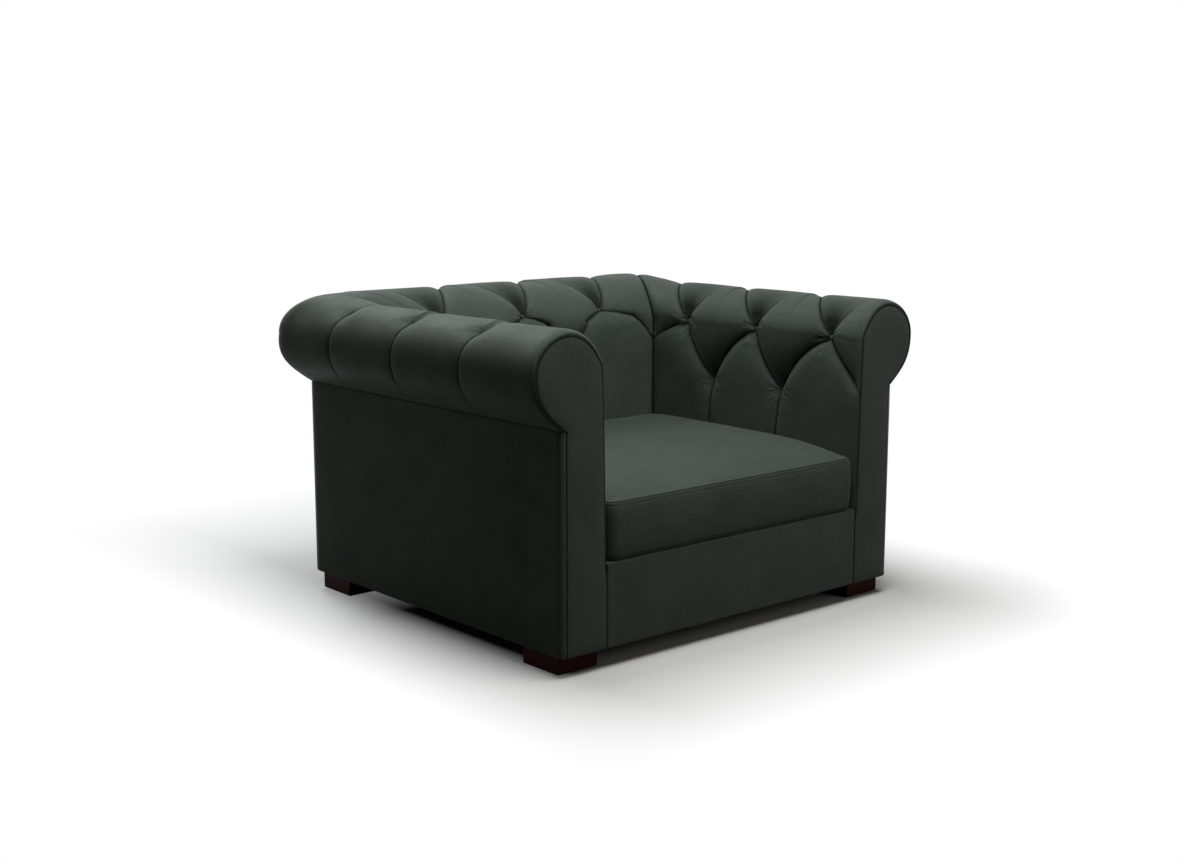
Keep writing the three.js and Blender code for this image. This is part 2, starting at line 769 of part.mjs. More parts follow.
function cornerBlockGeometry(offsetX, offsetY) {
  const block = new THREE.BoxGeometry(cornerBlockSize, cornerBlockSize, cornerBlockHeight)
    .translate(offsetX, offsetY, frameBottom + cornerBlockHeight / 2);
  return toGeometry(toSolid(block).subtract(boltHole(footHeight, blockTop + fitGap)));
}

function glideGeometry() {
  const profile = [[0, 0], [glideFlatRadius, 0], [glideRadius, glideHeight / 2],
    [glideRadius, glideHeight - fitGap], [0, glideHeight - fitGap]];
  const points = profile.map(([radius, height]) => new THREE.Vector2(radius, height));
  return new THREE.LatheGeometry(points, roundSides).rotateX(quarterTurn);
}

const blockX = blockOuterX - cornerBlockSize / 2;
const blockFrontY = frameFrontY + cornerBlockSize / 2;
const blockRearY = backPostRearY - cornerBlockSize / 2;
const footRows = [['front', footFrontY, blockFrontY], ['rear', footRearY, blockRearY]];
for (const [end, standY, blockY] of footRows) {
  for (const [side, sign] of [['right', 1], ['left', -1]]) {
    const parts = [
      ['foot', footGeometry(), footWood],
      ['glide', glideGeometry(), glideNylon],
      ['hanger_bolt', boltGeometry(), springSteel],
      ['corner_block', cornerBlockGeometry(sign * (blockX - footX), blockY - standY), frameWood],
    ];
    for (const [name, geometry, material] of parts) {
      addPiece(`${name}_${end}_${side}`, geometry, material).position.set(sign * footX, standY, 0);
    }
  }
}

// Dust cover under the frame, with a hole for each bolt
function dustCoverGeometry() {
  const sheet = new THREE.BoxGeometry(boardOuterX * 2, boardRearY - postFrontY, dustCoverThickness)
    .translate(0, (boardRearY + postFrontY) / 2, footHeight + dustCoverThickness / 2);
  let solid = toSolid(sheet);
  for (const y of [footFrontY, footRearY]) {
    for (const sign of [1, -1]) {
      solid = solid.subtract(boltHole(0, frameBottom).translate([sign * footX, y, 0]));
    }
  }
  return toGeometry(solid);
}

addPiece('dust_cover', dustCoverGeometry(), blackCloth);

// Five sinuous springs from the front rail to the rear seat rail, with the insulator and deck on them
const springCount = 5;
const springLoops = 8;
const springSides = 5;
const springFrontY = postFrontY + springWire;
const springRearY = rearSeatRailY - springWire;

class SpringPath extends THREE.Curve {
  getPoint(share) {
    const swing = Math.sin(share * springLoops * Math.PI * 2);
    return new THREE.Vector3(springWave * swing, blend(springFrontY, springRearY, share), 0);
  }
}

const wireSection = new THREE.Shape(Array.from({ length: springSides }, (none, i) => {
  const angle = (i / springSides) * Math.PI * 2;
  return new THREE.Vector2(Math.cos(angle), Math.sin(angle)).multiplyScalar(springWire / 2);
}));
const springOptions = { steps: springLoops * 5, extrudePath: new SpringPath(), bevelEnabled: false };
for (let i = 0; i < springCount; i += 1) {
  const wire = new THREE.ExtrudeGeometry(wireSection, springOptions);
  const spring = addPiece(`seat_spring_${i + 1}`, wire, springSteel);
  spring.position.set(((i + 0.5) / springCount - 0.5) * seatWidth, 0, springTop - springWire / 2);
}
const deckX = armX - deckEdgeGap;
const deckRearY = backY - deckEdgeGap;
addBoard('spring_insulator', feltCloth,
  [-deckX, postFrontY, insulatorBottom], [deckX, deckRearY, insulatorTop]);
addBoard('deck_pad', foam,
  [-deckX, frontY + railCoverLedge + fitGap, deckBottom], [deckX, deckRearY, railCoverTop]);

// Seat cushion: a box with a crown, soft edges and drawn-in corners, built at any inset
const cushionHalfX = armX - cushionSideGap;
const zipLength = (cushionHalfX - zipEndGap) * 2;
const cushionFrontY = frontY + cushionFrontSetback;
const cushionRearY = backY - cushionBackGap;
const cushionMidY = (cushionFrontY + cushionRearY) / 2;
const cushionHalfY = (cushionRearY - cushionFrontY) / 2;
const cushionCells = [8, 8, 4];

function cushionForm(inset) {
  const half = [cushionHalfX - inset, cushionHalfY - inset, cushionThickness / 2 - inset];
  const box = bare(new THREE.BoxGeometry(2, 2, 2, ...cushionCells));
  const at = box.attributes.position;
  for (let i = 0; i < at.count; i += 1) {
    const [u, v, w] = [at.getX(i), at.getY(i), at.getZ(i)];
    const crown = cushionCrown * (1 - u ** 4) * (1 - v ** 4) * Math.max(0, w) ** 2;
    const draw = cushionCornerDraw * (Math.abs(u * v)) ** 6;
    const round = Math.abs(w) === 1 ? cushionEdgeRound : 0;
    const edgeX = Math.abs(u) === 1 ? round : 0;
    const edgeY = Math.abs(v) === 1 ? round : 0;
    const sink = w === 1 && (edgeX || edgeY) ? cushionEdgeRound / 2 : 0;
    at.setXYZ(i,
      u * half[0] - Math.sign(u) * (draw + edgeX / 2),
      v * half[1] - Math.sign(v) * (draw + edgeY / 2) * (v < 1 ? 1 : 0),
      w * half[2] + crown - sink);
  }
  return box.translate(0, cushionMidY, cushionBottom + cushionThickness / 2);
}

const zipZ = cushionBottom + cushionThickness / 2;
const zipSlot = new THREE.BoxGeometry(zipLength, coverWall * 4, zipSlotHeight)
  .translate(0, cushionRearY, zipZ);
const cushionHollow = toSolid(cushionForm(coverWall));
const cushionCover = toSolid(cushionForm(0)).subtract(cushionHollow).subtract(toSolid(zipSlot));
addPiece('cushion_cover', toGeometry(cushionCover), leather);
addPiece('cushion_core', cushionForm(coverWall + fitGap), foam);

const tapeFrontY = cushionRearY + fitGap;
const tapeRearY = tapeFrontY + zipTapeThickness;
const tapeHalfX = zipLength / 2 + zipSlotHeight;
addBoard('cushion_zip', zipCloth,
  [-tapeHalfX, tapeFrontY, zipZ - zipTapeWidth / 2], [tapeHalfX, tapeRearY, zipZ + zipTapeWidth / 2]);
const sliderX = zipLength / 2 - sliderStopGap;
addBoard('zip_slider', zipBrass,
  [sliderX - sliderLength, tapeRearY + fitGap, zipZ - sliderWidth / 2],
  [sliderX, tapeRearY + fitGap + sliderThickness, zipZ + sliderWidth / 2]);

export default chair;
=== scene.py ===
# Chesterfield armchair: tufted leather pads, cushion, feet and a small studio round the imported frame.
# Metres. The chair faces -Y, +X is on the right as seen from the front.
import json
import math
import random

import bmesh
import bpy
import numpy as np
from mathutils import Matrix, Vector


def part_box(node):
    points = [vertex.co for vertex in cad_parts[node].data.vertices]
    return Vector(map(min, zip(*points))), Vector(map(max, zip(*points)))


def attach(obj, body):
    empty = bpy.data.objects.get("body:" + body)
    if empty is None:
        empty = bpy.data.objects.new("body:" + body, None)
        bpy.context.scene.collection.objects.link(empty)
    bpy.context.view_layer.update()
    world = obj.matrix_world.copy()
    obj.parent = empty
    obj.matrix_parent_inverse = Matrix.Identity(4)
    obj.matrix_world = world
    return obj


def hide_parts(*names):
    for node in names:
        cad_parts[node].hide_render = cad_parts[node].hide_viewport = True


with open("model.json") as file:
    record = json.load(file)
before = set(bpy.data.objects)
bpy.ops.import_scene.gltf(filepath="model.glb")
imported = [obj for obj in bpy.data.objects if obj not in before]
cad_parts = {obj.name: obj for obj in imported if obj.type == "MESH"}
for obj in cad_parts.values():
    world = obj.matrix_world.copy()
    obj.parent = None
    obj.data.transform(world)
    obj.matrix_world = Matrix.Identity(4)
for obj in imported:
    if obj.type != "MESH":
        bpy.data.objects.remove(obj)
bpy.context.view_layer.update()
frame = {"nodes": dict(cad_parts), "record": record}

nodes = frame["nodes"]

# Form of the chair, part of it read from the frame
chairForm = {
    "fitGap": 0.0003,
    "innerLip": 0.002,      # the frame's facings start this far in from the inside arms
    "rollOverhang": 0.075,
    "rollAxis": 0.647,      # height of the widest line of the rolls
    "rollTop": 0.736,
    "backAxisDrop": 0.017,
    "backRollFront": 0.172,
    "seatDepth": 0.726,
    "padBottom": 0.190,
    "padThickness": 0.036,
    "cornerRadius": 0.084,
    "panelRadius": 0.010,
    "facingThickness": 0.014,
}
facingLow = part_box("right_front_facing")[0]
backPanelLow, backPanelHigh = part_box("back_outside_panel")
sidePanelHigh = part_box("right_outside_panel")[1]
railLow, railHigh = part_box("front_rail_cover")

fitGap = chairForm["fitGap"]
armX = facingLow.x - chairForm["innerLip"] - fitGap
panelX = sidePanelHigh.x
rollX = panelX + chairForm["rollOverhang"]
ridgeX = (armX + rollX) / 2
frontY = facingLow.y
rearY = backPanelHigh.y
rollY = rearY + chairForm["rollOverhang"]
backY = frontY + chairForm["seatDepth"]
backRidgeY = backY + chairForm["backRollFront"]
rollAxis = chairForm["rollAxis"]
rollTop = chairForm["rollTop"]
backAxis = rollAxis - chairForm["backAxisDrop"]
padBottom = chairForm["padBottom"]
padThickness = chairForm["padThickness"]
panelTop = backPanelHigh.z + fitGap
bodyBottom = backPanelLow.z
quarterTurn = math.pi / 2
bothSides = (("right", 1), ("left", -1))


# Small helpers
def smooth(value):
    value = np.clip(value, 0, 1)
    return value * value * (3 - 2 * value)


def mix(start, end, share):
    return start + (end - start) * share


def bell(value):
    return np.exp(-(value**2))


def summed(steps):
    # places along a path that has steps of these lengths
    return np.concatenate([[0], np.cumsum(steps)])


def turnsOf(count):
    return [2 * math.pi * i / count for i in range(count)]


def segments(stops):
    # straight runs from each place to the next one
    return [(*a, *b) for a, b in zip(stops[:-1], stops[1:])]


def cubic(start, handleA, handleB, end, share):
    rest = 1 - share
    return rest**3 * start + 3 * rest**2 * share * handleA + 3 * rest * share**2 * handleB + share**3 * end


def spaced(start, end, cellAt):
    # places from start to end whose distances follow cellAt
    fine = np.linspace(start, end, 400)
    middle = (fine[1:] + fine[:-1]) / 2
    count = summed(np.diff(fine) / cellAt(middle))
    steps = max(1, int(round(count[-1])))
    return np.interp(np.linspace(0, count[-1], steps + 1), count, fine)


def spacedBetween(stops, cellAt):
    runs = [spaced(a, b, cellAt)[:-1] for a, b in zip(stops[:-1], stops[1:])]
    return np.concatenate(runs + [[stops[-1]]])


def makePiece(name, points, faces, material, body="chair", creased=None, layers=None):
    mesh = bpy.data.meshes.new(name)
    mesh.from_pydata(np.asarray(points, float).tolist(), [], [tuple(int(i) for i in f) for f in faces])
    mesh.polygons.foreach_set("use_smooth", [True] * len(mesh.polygons))
    if creased is not None:
        ends = np.zeros(len(mesh.edges) * 2, np.int32)
        mesh.edges.foreach_get("vertices", ends)
        ends = ends.reshape(-1, 2)
        sharp = mesh.attributes.new("sharp_edge", "BOOLEAN", "EDGE")
        sharp.data.foreach_set("value", creased[ends[:, 0]] & creased[ends[:, 1]])
    for key, values in (layers or {}).items():
        layer = mesh.attributes.new(key, "FLOAT", "POINT")
        layer.data.foreach_set("value", np.asarray(values, np.float32))
    mesh.materials.append(materials[material])
    piece = bpy.data.objects.new(name, mesh)
    bpy.context.scene.collection.objects.link(piece)
    turnOutward(piece)
    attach(piece, body)
    return piece


def turnOutward(piece):
    shape = bmesh.new()
    shape.from_mesh(piece.data)
    bmesh.ops.recalc_face_normals(shape, faces=shape.faces)
    shape.to_mesh(piece.data)
    shape.free()


def ringFaces(rings, count, first=0):
    # four-sided faces between closed rings of count points each
    faces = []
    for ring in range(rings - 1):
        for i in range(count):
            a = first + ring * count + i
            b = first + ring * count + (i + 1) % count
            faces.append((a, b, b + count, a + count))
    return faces


def cappedRings(rings, count, first=0):
    last = first + (rings - 1) * count
    ends = [tuple(range(first, first + count)), tuple(range(last, last + count))[::-1]]
    return ringFaces(rings, count, first) + ends


def gridBorder(rows, columns):
    # the points round a grid, in order
    size = rows * columns
    border = list(range(columns)) + [r * columns + columns - 1 for r in range(1, rows)]
    return border + [size - 1 - c for c in range(1, columns)] + [r * columns for r in range(rows - 2, 0, -1)]


def gridPairFaces(rows, columns, second):
    # faces of a grid and of the one behind it, whose points begin at second
    faces = []
    for r in range(rows - 1):
        for c in range(columns - 1):
            a = r * columns + c
            b = a + second
            faces.append((a, a + 1, a + columns + 1, a + columns))
            faces.append((b, b + columns, b + columns + 1, b + 1))
    return faces


def cornerPull(across, along, turned):
    # brings places beyond a corner's middle from a square onto its arc
    longest = np.maximum(np.maximum(across, along), 1e-9)
    return np.where(turned, longest / np.maximum(np.hypot(across, along), 1e-9), 1)


def squared(value, power):
    # a sine or cosine bent towards a rounded square
    return math.copysign(abs(value) ** power, value)


# Materials
noiseSpan = (0.3, 0.7)     # most values of a noise lie between these


def clearedTree(owner, outputKind):
    # the emptied node tree of a material or a world, and the socket that its shader goes into
    owner.use_nodes = True
    tree = owner.node_tree
    tree.nodes.clear()
    return tree, tree.nodes.new(outputKind).inputs[0]


def newMaterial(name):
    material = bpy.data.materials.new(name)
    tree, surface = clearedTree(material, "ShaderNodeOutputMaterial")
    shader = tree.nodes.new("ShaderNodeBsdfPrincipled")
    tree.links.new(shader.outputs[0], surface)
    return material, tree, shader


def feed(tree, socket, value):
    # value is another node's output or a constant
    if isinstance(value, bpy.types.NodeSocket):
        tree.links.new(value, socket)
    else:
        socket.default_value = value


def addNode(tree, kind, settings=None, **inputs):
    node = tree.nodes.new(kind)
    for key, value in (settings or {}).items():
        setattr(node, key, value)
    for key, value in inputs.items():
        feed(tree, node.inputs[key.replace("_", " ")], value)
    return node


def placeNode(tree, scale=(1, 1, 1)):
    spot = addNode(tree, "ShaderNodeTexCoord")
    return addNode(tree, "ShaderNodeMapping", Vector=spot.outputs["Object"], Scale=scale).outputs[0]


def noiseNode(tree, place, scale, detail, roughness=0.5, distortion=0.0):
    return addNode(tree, "ShaderNodeTexNoise", Vector=place, Scale=scale, Detail=detail,
                   Roughness=roughness, Distortion=distortion).outputs["Fac"]


def layerNode(tree, layer):
    # one of the layers of values that makePiece keeps in a mesh
    return addNode(tree, "ShaderNodeAttribute", {"attribute_name": layer}).outputs["Fac"]


def mathNode(tree, operation, *values):
    node = addNode(tree, "ShaderNodeMath", {"operation": operation})
    for socket, value in zip(node.inputs, values):
        feed(tree, socket, value)
    return node.outputs[0]


def colourMix(tree, amount, first, second, blend="MIX"):
    node = addNode(tree, "ShaderNodeMix", {"data_type": "RGBA", "blend_type": blend})
    for number, value in zip((0, 6, 7), (amount, first, second)):
        feed(tree, node.inputs[number], value)
    return node.outputs[2]


def rangeNode(tree, value, low, high, newLow, newHigh):
    node = addNode(tree, "ShaderNodeMapRange")
    for socket, number in zip(node.inputs, (value, low, high, newLow, newHigh)):
        feed(tree, socket, number)
    return node.outputs[0]


def shaderMix(tree, share, first, second, surface):
    blend = tree.nodes.new("ShaderNodeMixShader")
    for socket, value in zip(blend.inputs, (share, first.outputs[0], second.outputs[0])):
        tree.links.new(value, socket)
    tree.links.new(blend.outputs[0], surface)


def finishShader(tree, shader, colour, rough, height, strength, depth, under=None):
    # under is the normal that the relief lies on
    feed(tree, shader.inputs["Base Color"], colour)
    feed(tree, shader.inputs["Roughness"], rough)
    bump = addNode(tree, "ShaderNodeBump", Height=height, Strength=strength, Distance=depth)
    if under:
        tree.links.new(under, bump.inputs["Normal"])
    tree.links.new(bump.outputs[0], shader.inputs["Normal"])


def fromHex(text):
    # sRGB hex to the linear colour that sockets take
    values = [int(text[i:i + 2], 16) / 255 for i in (0, 2, 4)]
    return [v / 12.92 if v <= 0.04045 else ((v + 0.055) / 1.055) ** 2.4 for v in values] + [1]


leatherLook = {
    "colour": "444b45",
    "worn": "505850",        # where the leather is rubbed, in patches that follow the clouds
    "deep": "0d110f",        # painted shade colour for creases, the hollows over the pits, seams and rims
    "paintedShadeShare": 0.85,            # share of the painted shade colour where the shade layer is full
    "roughness": (0.38, 0.50),
    "creaseRoughness": 0.25,
    "specular": 0.024,
    "sheen": 0.06,
    "sheenRoughness": 0.4,
    "sheenTint": (0.62, 0.72, 0.74, 1),
    "clouds": (9.0, 4.0, 0.6),       # scale, detail and roughness of each noise
    "flecks": (260.0, 3.0, 0.7),
    "pores": (2600.0, 2.0, 0.6),
    "rubbed": 0.55,
    "rubbedSpan": (0.35, 0.75),      # values of the clouds over which it comes in
    "grainWidth": (0.16, 0.22),      # of the grain's valleys, in colour and in relief
    "fleckShade": (0.80, 1.16),
    "grainScale": 620,
    "grainRandomness": 0.85,
    "grainShade": 0.78,
    "grainStrength": 0.6,
    "grainDepth": 0.00022,
    "poreDepth": 0.35,               # against the grain's
    "foldReach": (0.009, 0.075),     # distances from a pit between which its fine folds run
    "foldStreaks": (2.6, 2.0, 0.45),
    "foldSpan": (0.36, 0.64),
    "foldDrift": 14.0,               # change of the streaks over a metre outwards
    "foldFade": 1.6,
    "foldDepth": 0.005,
}


def leatherMaterial(name, look, paintedShadeTone=1.0, creases=False, folds=False):
    material, tree, shader = newMaterial(name)
    place = placeNode(tree)
    cloud = noiseNode(tree, place, *look["clouds"])
    pebble = addNode(tree, "ShaderNodeTexVoronoi", {"feature": "DISTANCE_TO_EDGE"}, Vector=place,
                     Scale=look["grainScale"], Randomness=look["grainRandomness"]).outputs["Distance"]
    # a tone below 1 darkens this copy of the leather: painted shade
    base, worn = [[c * paintedShadeTone for c in fromHex(look[key])[:3]] + [1] for key in ("colour", "worn")]
    colour = colourMix(tree, rangeNode(tree, cloud, *look["rubbedSpan"], 0.0, look["rubbed"]), base, worn)
    speck = rangeNode(tree, noiseNode(tree, place, *look["flecks"]), *noiseSpan, *look["fleckShade"])
    colour = colourMix(tree, 1.0, colour, speck, "MULTIPLY")
    valley = rangeNode(tree, pebble, 0.0, look["grainWidth"][0], look["grainShade"], 1.0)
    colour = colourMix(tree, 1.0, colour, valley, "MULTIPLY")
    rough = rangeNode(tree, cloud, *noiseSpan, *look["roughness"][::-1])
    sheen = look["sheen"]
    # painted shade: the shade layer of a piece mixes in the deep colour and takes away the sheen along
    # creases, in the hollows over the pits and along seams and rims
    if creases:
        crease = layerNode(tree, "crease")
        paintedShadeShare = mathNode(tree, "MULTIPLY", crease, look["paintedShadeShare"])
        colour = colourMix(tree, paintedShadeShare, colour, fromHex(look["deep"]))
        rough = mathNode(tree, "MULTIPLY_ADD", crease, look["creaseRoughness"], rough)
        sheen = rangeNode(tree, crease, 0.0, 0.9, look["sheen"], 0.0)
    feed(tree, shader.inputs["Sheen Weight"], sheen)
    shader.inputs["Sheen Roughness"].default_value = look["sheenRoughness"]
    shader.inputs["Sheen Tint"].default_value = look["sheenTint"]
    shader.inputs["Specular IOR Level"].default_value = look["specular"]
    height = rangeNode(tree, pebble, 0.0, look["grainWidth"][1], 0.0, 1.0)
    height = mathNode(tree, "MULTIPLY_ADD", noiseNode(tree, place, *look["pores"]), look["poreDepth"], height)
    finishShader(tree, shader, colour, rough, height, look["grainStrength"], look["grainDepth"],
                 pitFolds(tree, look) if folds else None)
    return material


def pitFolds(tree, look):
    # the offset to the nearest pit gives streaks that run out from it
    offset = addNode(tree, "ShaderNodeCombineXYZ", X=layerNode(tree, "pitAlong"), Y=layerNode(tree, "pitUp"))
    away, heading = [addNode(tree, "ShaderNodeVectorMath", {"operation": kind}, Vector=offset.outputs[0])
                     for kind in ("LENGTH", "NORMALIZE")]
    away = away.outputs["Value"]
    parts = addNode(tree, "ShaderNodeSeparateXYZ", Vector=heading.outputs["Vector"])
    depth = mathNode(tree, "MULTIPLY_ADD", away, look["foldDrift"], layerNode(tree, "pitSeed"))
    spot = addNode(tree, "ShaderNodeCombineXYZ", X=parts.outputs[0], Y=parts.outputs[1], Z=depth).outputs[0]
    shape = rangeNode(tree, noiseNode(tree, spot, *look["foldStreaks"]), *look["foldSpan"], 0.0, 1.0)
    near, far = look["foldReach"]
    rise = rangeNode(tree, away, near * 0.3, near, 0.0, 1.0)
    fall = mathNode(tree, "POWER", rangeNode(tree, away, near, far, 1.0, 0.0), look["foldFade"])
    fade = mathNode(tree, "MULTIPLY", mathNode(tree, "MULTIPLY", rise, fall), layerNode(tree, "pitFade"))
    height = mathNode(tree, "MULTIPLY", shape, fade)
    return addNode(tree, "ShaderNodeBump", Height=height, Strength=1.0, Distance=look["foldDepth"]).outputs[0]


woodLook = {
    "footWood": {"dark": "160705", "light": "3e160c", "roughness": (0.34, 0.5), "grain": (4, 26, 60),
             "specular": 0.03},
    "frameWood": {"dark": "a07c4c", "light": "cfae7c", "roughness": (0.6, 0.8), "grain": (40, 5, 60),
              "specular": 0.3},
    "liningBoard": {"dark": "6e5233", "light": "8f7047", "roughness": (0.75, 0.9), "grain": (150, 150, 150),
              "specular": 0.2},
}

woodGrain = {
    "streaks": (1.6, 6.0, 0.65, 0.6),      # scale, detail, roughness and distortion
    "streakSpan": (0.32, 0.68),
    "pores": (14.0, 3.0),
    "poreSpan": (0.35, 0.6),
    "poreShade": (0.72, 1.05),
    "poreRelief": 0.6,                     # against the streaks'
    "strength": 0.35,
    "depth": 0.0004,
}


def woodMaterial(name, look):
    material, tree, shader = newMaterial(name)
    place = placeNode(tree, look["grain"])
    streak = noiseNode(tree, place, *woodGrain["streaks"])
    pores = noiseNode(tree, place, *woodGrain["pores"])
    share = rangeNode(tree, streak, *woodGrain["streakSpan"], 0.0, 1.0)
    colour = colourMix(tree, share, fromHex(look["dark"]), fromHex(look["light"]))
    shade = rangeNode(tree, pores, *woodGrain["poreSpan"], *woodGrain["poreShade"])
    colour = colourMix(tree, 1.0, colour, shade, "MULTIPLY")
    rough = rangeNode(tree, pores, *noiseSpan, *look["roughness"][::-1])
    shader.inputs["Specular IOR Level"].default_value = look["specular"]
    relief = mathNode(tree, "MULTIPLY_ADD", pores, woodGrain["poreRelief"], streak)
    finishShader(tree, shader, colour, rough, relief, woodGrain["strength"], woodGrain["depth"])
    return material


clothLook = {
    "dustCloth": {"dark": "0c0c0e", "light": "222226", "scale": 900, "roughness": 0.95, "depth": 0.0002},
    "feltCloth": {"dark": "3c3a37", "light": "6a6762", "scale": 500, "roughness": 1.0, "depth": 0.0006},
    "seatFoam": {"dark": "b7ac84", "light": "e4dcbc", "scale": 700, "roughness": 0.95, "depth": 0.0008},
    "zipTape": {"dark": "101411", "light": "2c332e", "scale": 1200, "roughness": 0.85, "depth": 0.0002},
    "thread": {"dark": "181c1a", "light": "303733", "scale": 1500, "roughness": 0.7, "depth": 0.0002},
    "deckCloth": {"dark": "181a19", "light": "343836", "scale": 800, "roughness": 0.95, "depth": 0.0003},
}

clothWeave = {"clouds": (24.0, 4.0), "cloudShade": (0.9, 1.6), "specular": 0.2, "strength": 0.6}


def clothMaterial(name, look):
    material, tree, shader = newMaterial(name)
    place = placeNode(tree)
    fibres = addNode(tree, "ShaderNodeTexVoronoi", {"feature": "SMOOTH_F1"}, Vector=place,
                     Scale=look["scale"]).outputs["Distance"]
    cloud = noiseNode(tree, place, *clothWeave["clouds"])
    cloud = rangeNode(tree, cloud, *noiseSpan, *clothWeave["cloudShade"])
    share = mathNode(tree, "MULTIPLY", fibres, cloud)
    colour = colourMix(tree, share, fromHex(look["dark"]), fromHex(look["light"]))
    shader.inputs["Specular IOR Level"].default_value = clothWeave["specular"]
    finishShader(tree, shader, colour, look["roughness"], fibres, clothWeave["strength"], look["depth"])
    return material


metalLook = {
    "springSteel": {"colour": "8d9094", "dull": "5d5f60", "roughness": (0.28, 0.5)},
    "zipBrass": {"colour": "8c7038", "dull": "4c3c1e", "roughness": (0.3, 0.5)},
}

metalWear = {"tarnish": (180.0, 5.0, 0.7), "span": (0.35, 0.7), "strength": 0.2, "depth": 0.0002}


def metalMaterial(name, look):
    material, tree, shader = newMaterial(name)
    tarnish = noiseNode(tree, placeNode(tree), *metalWear["tarnish"])
    share = rangeNode(tree, tarnish, *metalWear["span"], 0.0, 1.0)
    colour = colourMix(tree, share, fromHex(look["colour"]), fromHex(look["dull"]))
    shader.inputs["Metallic"].default_value = 1.0
    rough = rangeNode(tree, tarnish, *noiseSpan, *look["roughness"])
    finishShader(tree, shader, colour, rough, tarnish, metalWear["strength"], metalWear["depth"])
    return material


nylonLook = {
    "glideNylon": {"dark": "6c6962", "light": "a09c92"},
    "coilNylon": {"dark": "20241f", "light": "3b423c"},
}
nylonWear = {"scuffs": (300.0, 4.0), "roughness": (0.4, 0.6), "strength": 0.3, "depth": 0.0002}


def nylonMaterial(name, look):
    material, tree, shader = newMaterial(name)
    scuff = noiseNode(tree, placeNode(tree), *nylonWear["scuffs"])
    colour = colourMix(tree, scuff, fromHex(look["dark"]), fromHex(look["light"]))
    rough = rangeNode(tree, scuff, *noiseSpan, *nylonWear["roughness"])
    finishShader(tree, shader, colour, rough, scuff, nylonWear["strength"], nylonWear["depth"])
    return material


# the facings, panels, cushion and buttons use darker copies of the same leather: painted shade
leatherUse = {
    "padLeather": {"creases": True, "folds": True},
    "facingLeather": {"paintedShadeTone": 0.93, "creases": True},
    "panelLeather": {"paintedShadeTone": 0.92, "creases": True},
    "cushionLeather": {"paintedShadeTone": 0.85, "creases": True},
    "buttonLeather": {"paintedShadeTone": 0.8},
}
materials = {name: leatherMaterial(name, leatherLook, **use) for name, use in leatherUse.items()}
for build, looks in ((woodMaterial, woodLook), (clothMaterial, clothLook), (metalMaterial, metalLook),
                     (nylonMaterial, nylonLook)):
    materials.update({name: build(name, look) for name, look in looks.items()})

slotMaterials = {
    "leather": "panelLeather", "foam": "seatFoam", "zip_tape": "zipTape", "zip_metal": "zipBrass",
    "black_cloth": "dustCloth", "felt": "feltCloth", "steel": "springSteel", "foot_wood": "footWood",
    "glide_nylon": "glideNylon", "frame_wood": "frameWood", "fibreboard": "liningBoard",
}
for subpart in frame["record"]["subparts"]:
    cadMesh = nodes[subpart["node"]].data
    cadMesh.materials.clear()
    cadMesh.materials.append(materials[slotMaterials[subpart["material_slot"]]])
print("materials: %d" % len(bpy.data.materials))


# Section of the arms and the back. A station runs from 0 at the pads' bottom over 1 at the roll's
# axis, 2 at its ridge and 3 at its widest line to 4 at the seam below it. Depth is measured inwards.
underRollHandles = (0.62, 0.3)


def profileAt(station, depth):
    station = np.clip(station, 0, 4)
    angle = np.clip(station - 1, 0, 1) * quarterTurn
    z = np.where(station <= 1, mix(padBottom, rollAxis, station),
                 rollAxis + (rollTop - rollAxis - depth) * np.sin(angle))
    x = ridgeX - (ridgeX - armX - depth) * np.cos(angle)
    lift = np.clip((z - backAxis) / (rollTop - depth - backAxis), 0, 1)
    y = backRidgeY - (chairForm["backRollFront"] - depth) * np.sqrt(1 - lift**2)

    outer = (3 - np.clip(station, 2, 3)) * quarterTurn
    over = station > 2
    x = np.where(over, ridgeX + (rollX - ridgeX - depth) * np.cos(outer), x)
    y = np.where(over, backRidgeY + (rollY - backRidgeY - depth) * np.cos(outer), y)
    z = np.where(over, rollAxis + (rollTop - rollAxis - depth) * np.sin(outer), z)

    share = np.clip(station - 3, 0, 1)
    under = station > 3
    handleX = panelX + underRollHandles[0] * chairForm["rollOverhang"]
    handleZ = mix(panelTop, rollAxis, underRollHandles[1])
    x = np.where(under, cubic(rollX, rollX, handleX, panelX, share) - depth, x)
    z = np.where(under, cubic(rollAxis, (rollAxis + panelTop) / 2, handleZ, panelTop, share), z)
    y = np.where(under, x - panelX + rearY, y)
    return x, y, z


def roundedCorner(x, y, z, station, depth, sign=1):
    # places that go round the rear corners on an arc in plan; sign is -1 on the left
    edgeX, edgeY, edgeZ = profileAt(station, depth)
    outwards = np.where(station <= 3, np.cos((3 - station) * quarterTurn), 1)
    fade = np.clip(station - 3, 0, 1)
    radius = mix(chairForm["cornerRadius"], chairForm["panelRadius"], fade) * outwards - depth
    across = x - (edgeX - radius)
    along = y - (edgeY - radius)
    turned = (station > 2) & (radius > 0) & (across > 0) & (along > 0)
    pull = cornerPull(across, along, turned)
    x = np.where(turned, edgeX - radius + across * pull, x)
    y = np.where(turned, edgeY - radius + along * pull, y)
    return np.stack([x * sign, y, z], axis=-1)


stationSteps = np.linspace(0, 4, 1601)
sectionX, sectionY, sectionZ = profileAt(stationSteps, 0.0)


def surfaceLength(side):
    return summed(np.hypot(np.diff(side), np.diff(sectionZ)))


armLength = surfaceLength(sectionX)
backLength = surfaceLength(sectionY)


def stationAtHeight(height):
    if height <= rollAxis:
        return (height - padBottom) / (rollAxis - padBottom)
    return 1 + math.asin((height - rollAxis) / (rollTop - rollAxis)) / quarterTurn


